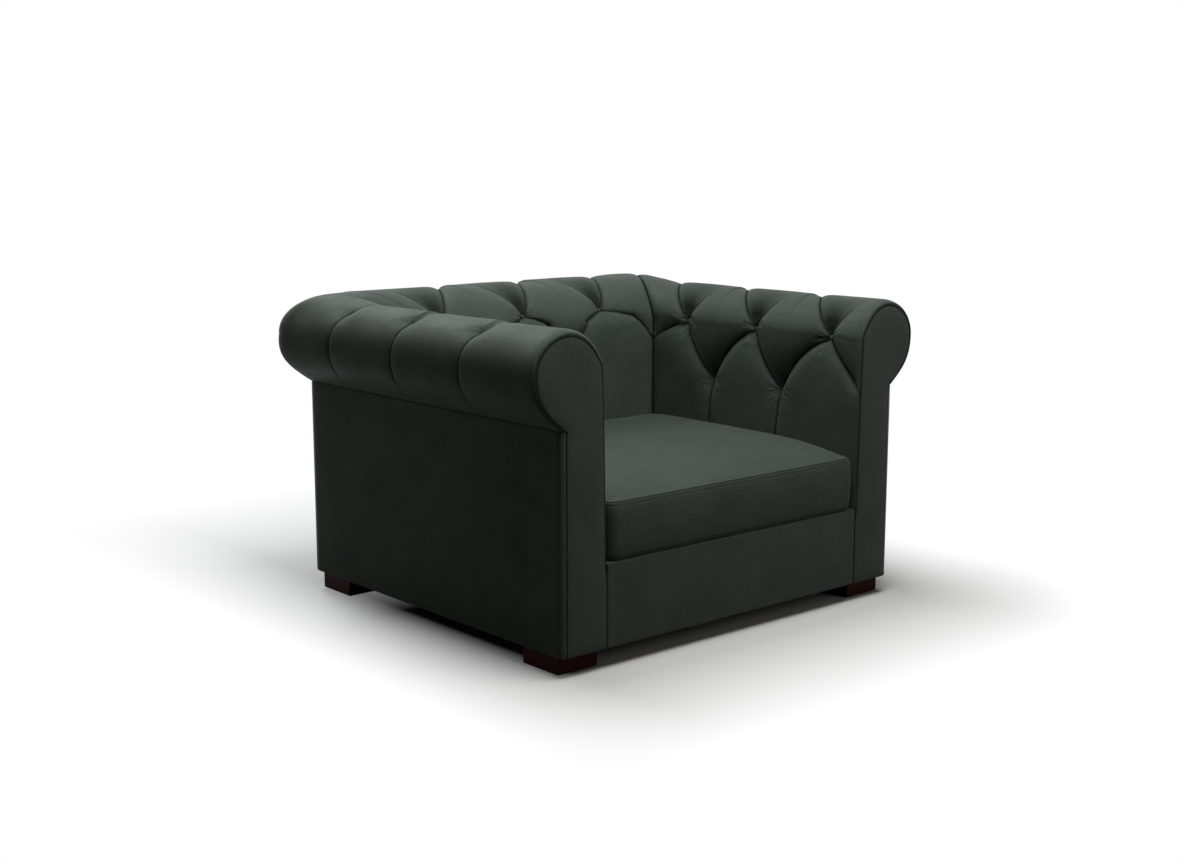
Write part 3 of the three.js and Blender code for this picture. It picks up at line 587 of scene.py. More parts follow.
# Tufting. Places along an arm are measured from its front, places along the back from its middle.
tufting = {
    "armUpper": (0.116, 0.368, 0.616),
    "armLower": (0.270, 0.511),
    "armCrest": (0.243, 0.4985, 0.757),
    "backUpper": (-0.2765, -0.018, 0.2405),
    "backLower": (-0.149, 0.109),
    "backCrest": (-0.408, -0.149, 0.109, 0.368),
    "upperHeight": 0.636,
    "backUpperHeight": 0.674,
    "lowerHeight": 0.490,
    "facingSeamHeight": 0.512,   # where the arms' first crease meets the facing
    "cornerSeamHeight": 0.582,   # and where the last ones meet the rear corner
    "crestStation": 2.35,        # the tuft points on the rolls lie past the ridge
    "lowerShift": 0.014,         # how far further back the pleats below the lower tufts end
    "outerDrift": ((2.35, 0.0), (3.0, 0.012), (3.6, 0.020), (3.9, 0.026)),   # of the pleats down the rolls
    "outerEnd": 3.9,
    # turning points of the lower creases' curves, as shares of their run and of their height
    "rearBend": (0.70, 0.30),
    "frontBend": (0.42, 0.58),
    "backBend": (0.62, 0.38),
    "straight": (0.5, 0.5),
    # millimetres at the stations: depth of the creases, what the puffs stand out, what the back
    # stands out more, and what the arms lie lower
    "stations": (0.0, 0.09, 0.45, 0.68, 1.0, 1.25, 1.5, 1.75, 2.0, 2.2, 2.36, 2.6, 3.0, 3.6, 3.9, 4.0),
    "creaseDepth": (0, 2, 7, 12, 13.5, 11.5, 9, 6.5, 5, 4.5, 4.5, 3.2, 2.6, 2, 0, 0),
    "crown": (0, 1, 2.5, 5, 7, 7, 6, 5, 4.5, 4, 3.5, 2.5, 1.5, 0.8, 0, 0),
    "backRise": (0, 0, -1, -2.5, -3, -0.5, 4, 8, 9, 8.5, 7.5, 4.5, 1.5, 0, 0, 0),
    "armTaper": (0, 1, 3.5, 5.5, 9, 12.5, 12, 8.5, 5, 5, 5, 4.5, 2.5, 0.5, 0, 0),
    "riseShare": 0.6,            # of the back's rise in its creases
    "taperRun": 0.11,            # from the rear corner, over which the arms come down
    "fading": ((0, 1), (0.25, 0.9), (0.62, 0.05), (0.9, 0.0), (1, 0.9)),   # of the crease nearer the light
    "pitDepth": 0.013,           # of the pits below the creases
    "pitReach": 0.022,
    "pitPower": 0.9,
    "crestDepth": 0.0085,
    "crestReach": 0.036,
    "crestPower": 2,
    "funnelDepth": 0.024,        # of the hollow over an upper pit, between its two creases
    "funnelReach": 0.080,
    "funnelWiden": 0.002,
    "funnelStart": 0.008,        # from the pit, over which it opens
    "funnelEnd": 0.6,            # share of its height over which it closes
    "funnelRound": 0.8,
    # painted shade in the hollow over a pit, and the largest share of it
    "funnelShade": 2.2,
    "funnelDarkest": 0.9,
    "lowerFunnel": 0.40,         # share of it over a lower pit
    "deepFrom": 0.025,           # depths beyond this are eased to the largest one
    "deepest": 0.0345,
    "puffSize": 0.0012,          # square metres at which a puff reaches its full height
    "puffPower": 0.62,
    "mitreRun": 0.05,            # from the mitre, over which its seam and the pits near it grow shallow
    "mitreDepth": 0.007,
    "shadeWidth": 0.0035,        # of the painted shade along a crease
    "shadeDepth": 0.006,
    "lowerFolds": 0.5,           # share of the folds round a lower pit
    "lowerReach": 0.05,          # above the lower tufts, up to which a pit counts as a lower one
    "foldsEnd": (0.070, 0.012),  # distance from a pit and run in which they fade out
    "wrinkles": 8,
    "wrinkleDepth": 0.0030,
    "wrinkleWidth": 0.0042,
    "wrinkleReach": (0.030, 0.058),
    "wrinkleSpread": 0.62,
    "wrinkleBend": 5.0,
    "wrinkleShares": (0.5, 1.0),     # of their depth
    "wrinkleWidths": (0.6, 1.4),     # shares of their width at the pit and at their end
    "wrinkleStart": (0.005, 0.006),  # distance from the pit and run in which they begin
    "wrinkleEnd": 0.7,               # share of their reach in which they fade out
    "wrinkleRidge": 0.45,            # beside each of them
    "handWork": 0.0008,          # uneven swelling of the whole pad
    "fineCell": 0.0026,
    "coarseCell": 0.0042,
    "fineReach": 0.030,
    "hiddenCell": 0.009,
    "outerCell": 0.0052,
    "outerFrom": 0.03,           # past the crest
    "rowShare": 0.9,             # of the coarse cell, for the rows
    "snapReach": 0.6,            # share of the gap between two columns
    "unsnapped": (0.5, 0.95),    # part of a fading crease that stays soft
    "pitSeeds": 7.3,             # between the patterns of two pits
    "membraneCell": 0.0045,
    "membraneTurns": 2600,
    "heldWithin": 0.71,          # cells from a line within which the membrane is held down
    "slopeFrom": 1.6,            # and from which its slope is taken
    "slopeTurns": 14,
}
crest = tufting["crestStation"]
lowerStation = stationAtHeight(tufting["lowerHeight"])
cornerStation = stationAtHeight(tufting["cornerSeamHeight"])


def outerPleat(along):
    return segments([(along + drift, station) for station, drift in tufting["outerDrift"]])


def curvedCrease(start, end, bend):
    # short straight runs along a curve
    start, end = np.array(start), np.array(end)
    turn = mix(start, end, np.array(bend))
    shares = np.linspace(0, 1, 8)
    return segments([(1 - t) ** 2 * start + 2 * t * (1 - t) * turn + t * t * end for t in shares])


def tuftLayout(side, upper, creases, ends):
    # pits and crest points as (along, station), creases as (along, station, along, station),
    # each pit with the two points that the creases over it run to
    uppers, lowers = tufting[side + "Upper"], tufting[side + "Lower"]
    pits = [(place, upper) for place in uppers] + [(place, lowerStation) for place in lowers]
    hollows = []
    for places, level, tops, above in ((uppers, upper, ends, crest), (lowers, lowerStation, uppers, upper)):
        hollows += [((here, level), (a, above), (b, above)) for here, a, b in zip(places, tops, tops[1:])]
    return pits, [(place, crest) for place in tufting[side + "Crest"]], creases, hollows


def lowerCreases(side, upper, first, last, bends, shift=0.0):
    # curved creases from the upper pits to the lower ones, first and last to the pad's ends, and
    # the pleats below the lower tufts
    lowers = tufting[side + "Lower"]
    meets = [first] + [(place, lowerStation) for place in lowers] + [last]
    creases = []
    for here, *pair in zip(tufting[side + "Upper"], meets[:-1], meets[1:]):
        for meet, bend in zip(pair, bends):
            creases += curvedCrease((here, upper), meet, tufting[bend if meet[0] else "straight"])
    return creases + [(place, lowerStation, place + shift, 0) for place in lowers]


def armTufts():
    upper = stationAtHeight(tufting["upperHeight"])
    creases = []
    ends = (0.0,) + tufting["armCrest"]
    for here, before, behind in zip(tufting["armUpper"], ends, tufting["armCrest"]):
        creases.append((here, upper, before, crest, "fading" if before > 0 else "ending"))
        creases.append((here, upper, behind, crest))
        creases += outerPleat(behind)
    first, last = (0.0, stationAtHeight(tufting["facingSeamHeight"])), (chairForm["seatDepth"], cornerStation)
    creases += lowerCreases("arm", upper, first, last, ("frontBend", "rearBend"), tufting["lowerShift"])
    return tuftLayout("arm", upper, creases, ends)


def backTufts():
    upper = stationAtHeight(tufting["backUpperHeight"])
    creases = []
    for here, left, right in zip(tufting["backUpper"], tufting["backCrest"], tufting["backCrest"][1:]):
        creases.append((here, upper, left, crest, "fading"))
        creases.append((here, upper, right, crest))
    for place in tufting["backCrest"]:
        creases.append((place, crest, place, tufting["outerEnd"]))
    first, last = (-armX, cornerStation), (armX, cornerStation)
    creases += lowerCreases("back", upper, first, last, ("backBend", "backBend"))
    return tuftLayout("back", upper, creases, tufting["backCrest"])


def nearestLine(lines, along, up):
    # distance to the nearest line, how strong that line is there
    best = np.full(along.shape, 9.0)
    strength = np.ones(along.shape)
    stops, values = np.array(tufting["fading"]).T
    for a0, u0, a1, u1, *kind in lines:
        runA, runU = a1 - a0, u1 - u0
        share = np.clip(((along - a0) * runA + (up - u0) * runU) / (runA**2 + runU**2), 0, 1)
        off = np.hypot(along - a0 - share * runA, up - u0 - share * runU)
        own = np.interp(share, stops, values) if kind else np.ones(along.shape)
        if "ending" in kind:
            own = np.interp(share, stops[:-1], values[:-1])
        strength = np.where(off < best, own, strength)
        best = np.minimum(best, off)
    return best, strength


def distanceTo(lines, along, up):
    return nearestLine(lines, along, up)[0]


def nearestPit(pits, along, up, level):
    # offset to the nearest pit and its number, for the fine folds of the leather
    best = np.full(along.shape, 9.0)
    found = [np.zeros(along.shape) for i in range(4)]
    for number, (pitA, pitU) in enumerate(pits):
        r = np.hypot(along - pitA, up - pitU)
        share = 1.0 if pitU > level else tufting["lowerFolds"]
        own = (along - pitA, up - pitU, number * tufting["pitSeeds"], share)
        found = [np.where(r < best, mine, values) for values, mine in zip(found, own)]
        best = np.minimum(best, r)
    start, run = tufting["foldsEnd"]
    fade = found[3] * (1 - smooth((best - start) / run))
    return {"pitAlong": found[0], "pitUp": found[1], "pitSeed": found[2], "pitFade": fade}


def funnelShare(pit, tops, along, up):
    # hollow inside the angle that the two creases over a pit make: 1 in its middle, fading upwards
    pitA, pitU = pit
    h = np.maximum(up - pitU, 0)
    (a0, u0), (a1, u1) = tops
    left = pitA + (a0 - pitA) * h / (u0 - pitU) - tufting["funnelWiden"]
    right = pitA + (a1 - pitA) * h / (u1 - pitU) + tufting["funnelWiden"]
    across = np.clip(2 * (along - left) / (right - left) - 1, -1, 1)
    top = min(u0, u1) - pitU
    fade = np.exp(-h / tufting["funnelReach"]) * smooth(h / tufting["funnelStart"])
    fade = fade * smooth((top - h) / (tufting["funnelEnd"] * top))
    return np.cos(across * quarterTurn) ** tufting["funnelRound"] * fade


def neighbours(values, filling):
    edge = np.pad(values, 1, mode=filling)
    return edge[:-2, 1:-1] + edge[2:, 1:-1] + edge[1:-1, :-2] + edge[1:-1, 2:]


def membrane(lines, low, high, cell):
    # height of a skin blown up between the lines, divided by the distance to them
    gridA, gridU = [start + np.arange(int((end - start) / cell) + 1) * cell for start, end in zip(low, high)]
    alongs, ups = np.meshgrid(gridA, gridU)
    off = distanceTo(lines, alongs, ups)
    free = off > cell * tufting["heldWithin"]
    height = np.where(free, 0.001, 0.0)
    for turn in range(tufting["membraneTurns"]):
        height = np.where(free, (neighbours(height, "edge") + cell**2) / 4, 0)
    known = off > cell * tufting["slopeFrom"]
    slope = np.where(known, height / np.maximum(off, cell), 0)
    weight = known.astype(float)
    for turn in range(tufting["slopeTurns"]):     # carries the slope into the cells beside the lines
        total, count = neighbours(slope, "constant"), neighbours(weight, "constant")
        reached = (weight == 0) & (count > 0)
        slope = np.where(reached, total / np.maximum(count, 1e-9), slope)
        weight = np.where(reached, 1.0, weight)
    return gridA, gridU, slope


def sampleGrid(grid, along, up):
    gridA, gridU, values = grid
    placeA = np.clip((along - gridA[0]) / (gridA[1] - gridA[0]), 0, len(gridA) - 1.001)
    placeU = np.clip((up - gridU[0]) / (gridU[1] - gridU[0]), 0, len(gridU) - 1.001)
    a, u = placeA.astype(int), placeU.astype(int)
    restA, restU = placeA - a, placeU - u
    low = mix(values[u, a], values[u, a + 1], restA)
    high = mix(values[u + 1, a], values[u + 1, a + 1], restA)
    return mix(low, high, restU)


def radialWrinkles(pits, along, up, seed, lean, level):
    # short folds that run out from each pit, most of them to the side that lean names
    rng = random.Random(seed)
    depth = np.zeros(along.shape)
    spread = tufting["wrinkleSpread"]
    start, run = tufting["wrinkleStart"]
    for pitA, pitU in pits:
        for i in range(tufting["wrinkles"]):
            side = lean if i % 4 else -lean
            angle = (1 - side) * quarterTurn + rng.uniform(-spread, spread) * quarterTurn
            reach = rng.uniform(*tufting["wrinkleReach"])
            strength = rng.uniform(*tufting["wrinkleShares"]) * tufting["wrinkleDepth"]
            strength *= 1 if side == lean else 0.5
            strength *= 1 if pitU > level else tufting["lowerFolds"]
            out = (along - pitA) * math.cos(angle) + (up - pitU) * math.sin(angle)
            off = (up - pitU) * math.cos(angle) - (along - pitA) * math.sin(angle)
            bend = off + tufting["wrinkleBend"] * rng.uniform(-1, 1) * out**2
            width = tufting["wrinkleWidth"] * mix(*tufting["wrinkleWidths"], np.clip(out / reach, 0, 1))
            window = smooth((out - start) / run) * smooth((reach - out) / (reach * tufting["wrinkleEnd"]))
            ridge = tufting["wrinkleRidge"] * bell((bend - 2 * width) / width)
            depth += strength * window * (bell(bend / width) - ridge)
    return depth


handWaves = {"count": 7, "lengths": (0.07, 0.2)}


def softWaves(x, y, z, seed, size):
    # low uneven swelling of upholstery that was filled by hand
    rng = random.Random(seed)
    total = np.zeros(np.shape(x))
    for i in range(handWaves["count"]):
        direction = Vector([rng.uniform(-1, 1) for axis in range(3)]).normalized()
        pace = 2 * math.pi / rng.uniform(*handWaves["lengths"])
        way = x * direction.x + y * direction.y + z * direction.z
        total = total + np.sin(way * pace + rng.uniform(0, 6.28))
    return total / handWaves["count"] * size


def atStation(key, station):
    return np.interp(station, tufting["stations"], tufting[key]) / 1000


def tuftField(layout, lengths, mitres, seed, raised=False):
    # returns depth below the smooth surface, the offsets to the nearest pit, and painted shade along the
    # creases and in the hollows over the pits, for places on a pad
    pits, crests, creases, hollows = layout
    upOf = lambda station: np.interp(station, stationSteps, lengths)
    pitPlaces, crestPlaces = [[(a, upOf(s)) for a, s in places] for places in (pits, crests)]
    creaseLines = [(a0, upOf(s0), a1, upOf(s1), *kind) for a0, s0, a1, s1, *kind in creases]
    lines = creaseLines + mitres
    corners = np.array([line[:4] for line in lines]).reshape(-1, 2)
    level = upOf(lowerStation) + tufting["lowerReach"]
    funnels = []
    for three in hollows:
        pit, first, second = [(a, upOf(s)) for a, s in three]
        funnels.append((pit, (first, second), 1.0 if pit[1] > level else tufting["lowerFunnel"]))
    furthest = np.maximum(corners.max(0), (0, lengths[-1]))
    grid = membrane(lines, corners.min(0), furthest, tufting["membraneCell"])

    def field(along, station):
        up = upOf(station)
        off, strength = nearestLine(lines, along, up)
        offMitre = distanceTo(mitres, along, up)
        skin = np.maximum(sampleGrid(grid, along, up), 0) * off
        lift = (1 - np.exp(-skin / tufting["puffSize"])) ** tufting["puffPower"]
        lift = 1 - (1 - lift) * strength
        rise = atStation("backRise", station) * (1 if raised else 1 - smooth(offMitre / tufting["taperRun"]))
        crown = atStation("crown", station) + rise
        base = atStation("creaseDepth", station) - rise * tufting["riseShare"]
        nearMitre = smooth(offMitre / tufting["mitreRun"])
        seam = mix(np.minimum(base, tufting["mitreDepth"]), base, nearMitre)
        pit = np.zeros(along.shape)
        for kind, places in (("pit", pitPlaces), ("crest", crestPlaces)):
            deep, reach, power = [tufting[kind + part] for part in ("Depth", "Reach", "Power")]
            for pitA, pitU in places:
                pit += deep * np.exp(-((np.hypot(along - pitA, up - pitU) / reach) ** power))
        hollow = np.zeros(along.shape)
        for place, tops, share in funnels:
            hollow += share * funnelShare(place, tops, along, up)
        pit += tufting["funnelDepth"] * hollow
        depth = seam - (seam + crown) * lift + pit * nearMitre
        depth += radialWrinkles(pitPlaces, along, up, seed, -1 if raised else 1, level) * nearMitre
        # painted shade: darker along each crease as far as it is deep, and darkest in the hollow over each
        # pit
        near = bell(off / tufting["shadeWidth"]) * strength
        near = near * np.clip((base + crown) / tufting["shadeDepth"], 0, 1)
        near = np.maximum(near, np.minimum(tufting["funnelShade"] * hollow, tufting["funnelDarkest"]))
        return depth, dict(nearestPit(pitPlaces, along, up, level), crease=near)

    return field, creaseLines, upOf


def eased(depth):
    # keeps the deepest places in front of the pad's back
    room = tufting["deepest"] - tufting["deepFrom"]
    over = np.maximum(depth - tufting["deepFrom"], 0)
    return np.minimum(depth, tufting["deepFrom"]) + room * (1 - np.exp(-over / room))


def taperAt(station):
    return atStation("armTaper", station)


def snapToCreases(along, up, lines, interior):
    # moves the nearest point of each row onto every crease, so that its fold is sharp
    rows, columns = along.shape
    held = np.zeros(along.shape, bool)
    softFrom, softTo = tufting["unsnapped"]
    for a0, u0, a1, u1, *kind in lines:
        low, high = sorted((u0, u1))
        for r in range(rows):
            level = up[r, columns // 2]
            if not low - 1e-6 <= level <= high + 1e-6 or not interior[r]:
                continue
            share = (level - u0) / (u1 - u0)
            if kind and softFrom < share < softTo:
                continue
            target = mix(a0, a1, share)
            c = int(np.argmin(np.abs(along[r] - target)))
            gap = max(along[r, min(c + 1, columns - 1)] - along[r, c], along[r, c] - along[r, max(c - 1, 0)])
            close = abs(along[r, c] - target) <= gap * tufting["snapReach"]
            if 0 < c < columns - 1 and close and not held[r, c]:
                along[r, c] = target
                held[r, c] = True
    return held


# Rows of both kinds of pad lie at the same stations, so that they meet in one mitre
def padStations():
    both = (armLength + backLength) / 2
    upOf = lambda station: float(np.interp(station, stationSteps, both))
    stops = [0.0, (railHigh.z - padBottom) / (rollAxis - padBottom), lowerStation,
             stationAtHeight(tufting["upperHeight"]), stationAtHeight(tufting["backUpperHeight"]),
             crest, 3.0, 4.0]
    tuftUps = np.array([upOf(stops[k]) for k in (2, 3, 4)])
    hidden, outer = upOf(stops[1]), upOf(crest) + tufting["outerFrom"]
    rowCell = tufting["coarseCell"] * tufting["rowShare"]

    def cellAt(up):
        near = np.min(np.abs(np.asarray(up)[:, None] - tuftUps[None, :]), axis=1)
        cell = np.where(near < tufting["fineReach"], tufting["fineCell"], rowCell)
        cell = np.where(up < hidden, tufting["hiddenCell"], cell)
        return np.where(up > outer, tufting["outerCell"], cell)

    ups = spacedBetween([upOf(s) for s in stops], cellAt)
    return np.interp(ups, both, stationSteps)


padRows = padStations()


def columnCell(places):
    def cellAt(along):
        near = np.min(np.abs(np.asarray(along)[:, None] - np.array(places)[None, :]), axis=1)
        return np.where(near < tufting["fineReach"], tufting["fineCell"], tufting["coarseCell"])
    return cellAt


def padGrid(alongs, first, upOf, creaseLines):
    # the rows' places drawn onto the creases from column first on, their stations, their heights
    # along the surface and the points whose edges are sharp
    alongs = np.array(alongs)
    stations = np.repeat(padRows[:, None], alongs.shape[1], axis=1)
    ups = upOf(stations)
    sharp = np.zeros(alongs.shape, bool)
    sharp[:, first:-1] = snapToCreases(alongs[:, first:-1], ups[:, first:-1], creaseLines,
                                       (padRows > 0) & (padRows < 4))
    sharp[:, [0, -1]] = True
    return alongs, stations, ups, sharp


def buttonSpots(pits, field, taper, spot):
    # the bottom of each pit and a place right behind it, which gives the button's direction
    spots = []
    for place, station in pits:
        sunk = float(eased(field(np.array([[place]]), np.array([[station]]))[0][0, 0] + taper(station)))
        for d in (sunk, sunk + 0.001):
            spots.append(spot(place, *[float(value) for value in profileAt(station, d)]))
    return spots


def triangulated(depth, rows, columns, stride):
    # splits each patch along the diagonal that lies deeper
    faces = []
    straight = depth[:-1, :-1] + depth[1:, 1:]
    crossed = depth[:-1, 1:] + depth[1:, :-1]
    for r in range(rows - 1):
        for c in range(columns - 1):
            a = r * stride + c
            b, d, e = a + 1, a + stride, a + stride + 1
            if straight[r, c] >= crossed[r, c]:
                faces += [(a, b, e), (a, e, d)]
            else:
                faces += [(a, b, d), (b, e, d)]
    return faces


def padPiece(name, points, depth, layers, creased, inner, node):
    # points and inner are rows of places, inner being the few that close each row behind the leather
    rows, columns = depth.shape
    backs = inner.shape[1]
    stride = columns + backs
    allPoints = np.concatenate([points, inner], axis=1).reshape(-1, 3)
    faces = triangulated(depth, rows, columns, stride)
    for r in range(rows - 1):
        for c in range(columns - 1, stride):
            a = r * stride + c
            b = r * stride + (c + 1) % stride
            faces.append((a, b, b + stride, a + stride))
    faces.append(tuple(range(stride)))
    faces.append(tuple(range((rows - 1) * stride, rows * stride))[::-1])
    flags = np.concatenate([creased, np.ones((rows, backs), bool)], axis=1).reshape(-1)
    hidden = np.zeros((rows, backs))
    layers = {key: np.concatenate([values, hidden], axis=1).reshape(-1) for key, values in layers.items()}
    piece = makePiece(name, allPoints, faces, "padLeather", creased=flags, layers=layers)
    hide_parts(node)


# The front edge of an arm pad. Its roll turns over the facing, its inside laps round the facing's edge.
frontEdge = {
    "turnStart": 0.8,
    "turnRun": 0.6,
    "lip": 0.010,
    "round": 0.0085,
    "innerLip": 0.0038,
    "innerRound": 0.003,
    "innerStart": 0.0012,
    "lapRun": 0.09,        # stations from the pad's bottom over which the inner lap begins
    "clear": 0.0002,
    "arcPoints": 5,
    "flatRun": 0.022,      # from the edge, over which the tufting begins
    # painted shade along the groove at the pad's front edge, and its width
    "shade": 0.85,
    "shadeWidth": 0.0018,
}
padEnds = {
    "armSteady": 0.024,    # where the even columns of an arm begin
    "armTail": 0.030,      # past the last tuft, where they end
    "armMiddle": 0.765,
    "armLast": 0.012,      # at least, between the middle and the mitre
    "armSteps": 33,
    "armCells": (0.02, 0.03),
    "armBridge": (0.33, 0.66),   # shares of the way from the front edge to the even columns
    "backTail": 0.020,
    "backMiddle": 0.430,
    "backLast": 0.008,
    "backSteps": 35,
    "backCells": (0.035, 0.03),
    "bendRun": 0.045,      # over which the last columns follow the mitre
    "waveRun": 0.05,
    "waveEnd": 0.3,        # stations before the seam below the roll
}


def turnedShare(station):
    return smooth((station - frontEdge["turnStart"]) / frontEdge["turnRun"])


def lappedShare(station):
    return smooth(station / frontEdge["lapRun"])


def lipAt(station):
    return mix(frontEdge["innerLip"] * lappedShare(station), frontEdge["lip"], turnedShare(station))


def endBend(reach, ends, axis, stations, depth):
    # columns near the mitre follow it as the surface sinks
    shift = profileAt(stations, depth)[axis] - profileAt(stations, 0.0)[axis]
    return reach + shift * smooth(1 - (ends - reach) / padEnds["bendRun"]) - fitGap * (reach >= ends)


def padWaves(alongs, ups, stations, seed, edges):
    wave = softWaves(alongs, ups, alongs * 0, seed, tufting["handWork"])
    return wave * edges * smooth((4 - stations) / padEnds["waveEnd"])


def padTail(side, start, end):
    # columns from the last tuft to the mitre
    cell, grown = padEnds[side + "Cells"]
    middle = min(end - padEnds[side + "Last"], padEnds[side + "Middle"])
    near = mix(start, middle, np.linspace(0, 1, padEnds[side + "Steps"])[1:])
    return np.concatenate([near, mix(middle, end, spaced(0, 1, lambda v: cell + grown * v)[1:])])


def armPad():
    layout = armTufts()
    ends = profileAt(padRows, 0.0)[1] - frontY
    mitre = segments(list(zip(ends, armUp)))
    field, creaseLines, upOf = tuftField(layout, armLength, mitre, 11)
    tailStart = tufting["armUpper"][-1] + padEnds["armTail"]
    steady = spaced(padEnds["armSteady"], tailStart, columnCell(tufting["armUpper"] + tufting["armLower"]))
    rows = len(padRows)
    turned, lapped = turnedShare(padRows), lappedShare(padRows)
    starts = (chairForm["facingThickness"] + fitGap) * (1 - lapped)
    starts = starts + frontEdge["innerStart"] * lapped * (1 - turned)
    arcRadius = mix(frontEdge["innerRound"], frontEdge["round"], turned)
    lipDepth = np.maximum(lipAt(padRows), arcRadius)
    arc = np.linspace(1, 0, frontEdge["arcPoints"] + 1) * quarterTurn
    alongs, arcDepths = [], []
    for start, radius, lip, end in zip(starts, arcRadius, lipDepth, ends):
        front = start + radius * (1 - np.sin(arc))
        bridge = mix(start + radius, steady[0], np.array(padEnds["armBridge"]))
        rest = np.concatenate([bridge, steady, padTail("arm", tailStart, end)])
        alongs.append(np.concatenate([[start], front, rest]))
        arcDepths.append(np.concatenate([[lip], radius * (1 - np.cos(arc)), rest * 0]))
    alongs, stations, ups, creased = padGrid(alongs, frontEdge["arcPoints"] + 4, upOf, creaseLines)
    depth, near = field(alongs, stations)
    fromStart, toEnd = alongs - starts[:, None], ends[:, None] - alongs
    taper = taperAt(stations) * smooth(toEnd / tufting["taperRun"])
    depth = eased(depth * smooth(fromStart / frontEdge["flatRun"]) + taper) + np.array(arcDepths)
    # painted shade in the groove along the pad's front edge
    edge = frontEdge["shade"] * lapped[:, None] * bell(fromStart / frontEdge["shadeWidth"])
    near["crease"] = np.maximum(near["crease"], edge)
    edges = smooth(fromStart / padEnds["waveRun"]) * smooth(toEnd / padEnds["waveRun"])
    depth += padWaves(alongs, ups, stations, 5, edges)
    bent = endBend(alongs, ends[:, None], 1, stations, depth)
    x, none, z = profileAt(stations, depth)
    points = roundedCorner(x, frontY + bent, z, stations, depth)
    inner = []
    front = np.full(rows, frontY + chairForm["facingThickness"] + fitGap)
    deep = np.full(rows, padThickness)
    x, y, z = profileAt(padRows, deep)
    for runY, d in ((y - fitGap, deep), (y - (chairForm["cornerRadius"] - padThickness), deep), (front, deep),
                    (front, lipDepth + taperAt(padRows) + frontEdge["clear"])):
        x, none, z = profileAt(padRows, d)
        inner.append(roundedCorner(x, runY, z, padRows, d))
    buttons = buttonSpots(layout[0], field, taperAt, lambda place, x, y, z: (x, frontY + place, z))
    return points, depth, near, creased, np.stack(inner, axis=1), buttons


# Covered buttons in the pits, held back by the twine
buttonForm = {
    "radius": 0.0085,
    "sunk": 0.0006,          # of the rim below the bottom of the pit
    "section": ((0, 3.4), (2, 3.25), (4, 2.7), (6, 1.7), (7.6, 0.4), (8.4, -1.2), (8.5, -2.6), (7.4, -3.6)),
    "sectionRadius": 0.0085,
    "sides": 22,
    "puckers": 7,
    "pucker": 0.03,
}


def addButtons(name, places, flip=1):
    points, faces = [], []
    scale = buttonForm["radius"] / buttonForm["sectionRadius"] / 1000
    sides, sunk = buttonForm["sides"], buttonForm["sunk"]
    rings = len(buttonForm["section"]) - 1
    for middle, behind in zip(places[::2], places[1::2]):
        middle, behind = Vector(middle), Vector(behind)
        normal = (middle - behind).normalized()
        across = normal.cross(Vector((0, 0, 1))).normalized()
        other = normal.cross(across)
        first = len(points)
        for radius, height in buttonForm["section"][1:]:
            for turn in turnsOf(sides):
                pucker = 1 + buttonForm["pucker"] * math.cos(turn * buttonForm["puckers"]) * (height < 1)
                out = across * math.cos(turn) + other * math.sin(turn)
                points.append(middle + out * (radius * scale * pucker) + normal * (height * scale - sunk))
        faces += ringFaces(rings, sides, first)
        top = len(points)
        points.append(middle + normal * (buttonForm["section"][0][1] * scale - sunk))
        faces += [(first + (i + 1) % sides, first + i, top) for i in range(sides)]
        faces.append(tuple(first + (rings - 1) * sides + i for i in range(sides)))
    points = np.array([tuple(p) for p in points]) * np.array([flip, 1, 1])
    piece = makePiece(name, points, faces, "buttonLeather")


armUp = np.interp(padRows, stationSteps, armLength)
backUp = np.interp(padRows, stationSteps, backLength)
armPoints, armDepth, armNear, armCreased, armInner, armButtons = armPad()
for side, sign in bothSides:
    flip = np.array([sign, 1, 1])
    padPiece(side + "_arm_leather", armPoints * flip, armDepth, armNear, armCreased, armInner * flip,
             side + "_arm_pad")
    addButtons(side + "_arm_buttons", armButtons, sign)
print("arm pads: %d x %d points each" % armDepth.shape)


def backPad():
    layout = backTufts()
    ends = profileAt(padRows, 0.0)[0]
    mitre = []
    for sign in (-1, 1):
        mitre += segments(list(zip(sign * ends, backUp)))
    field, creaseLines, upOf = tuftField(layout, backLength, mitre, 23, raised=True)
    tailStart = -tufting["backUpper"][0] + padEnds["backTail"]
    steady = spaced(-tailStart, tailStart, columnCell(tufting["backUpper"] + tufting["backLower"]))
    alongs = []
    for end in ends:
        tail = padTail("back", tailStart, end)
        alongs.append(np.concatenate([-tail[::-1], steady, tail]))
    alongs, stations, ups, creased = padGrid(alongs, 1, upOf, creaseLines)
    depth, near = field(alongs, stations)
    depth = eased(depth)
    reach = np.abs(alongs)
    edges = smooth((ends[:, None] - reach) / padEnds["waveRun"])
    depth += padWaves(alongs, ups, stations, 9, edges)
    bent = endBend(reach, ends[:, None], 0, stations, depth)
    none, y, z = profileAt(stations, depth)
    points = roundedCorner(bent, y, z, stations, depth, np.sign(alongs))
    deep = np.full(len(padRows), padThickness)
    x, y, z = profileAt(padRows, deep)
    innerRadius = chairForm["cornerRadius"] - padThickness
    inner = [roundedCorner(x - drawn, y, z, padRows, deep, sign)
             for sign, drawn in ((1, fitGap), (1, innerRadius), (-1, innerRadius), (-1, fitGap))]
    buttons = buttonSpots(layout[0], field, lambda station: 0.0, lambda place, x, y, z: (place, y, z))
    return points, depth, near, creased, np.stack(inner, axis=1), buttons


backPoints, backDepth, backNear, backCreased, backInner, backButtons = backPad()
padPiece("back_leather", backPoints, backDepth, backNear, backCreased, backInner, "back_pad")
addButtons("back_buttons", backButtons)
print("back pad: %d x %d points" % backDepth.shape)

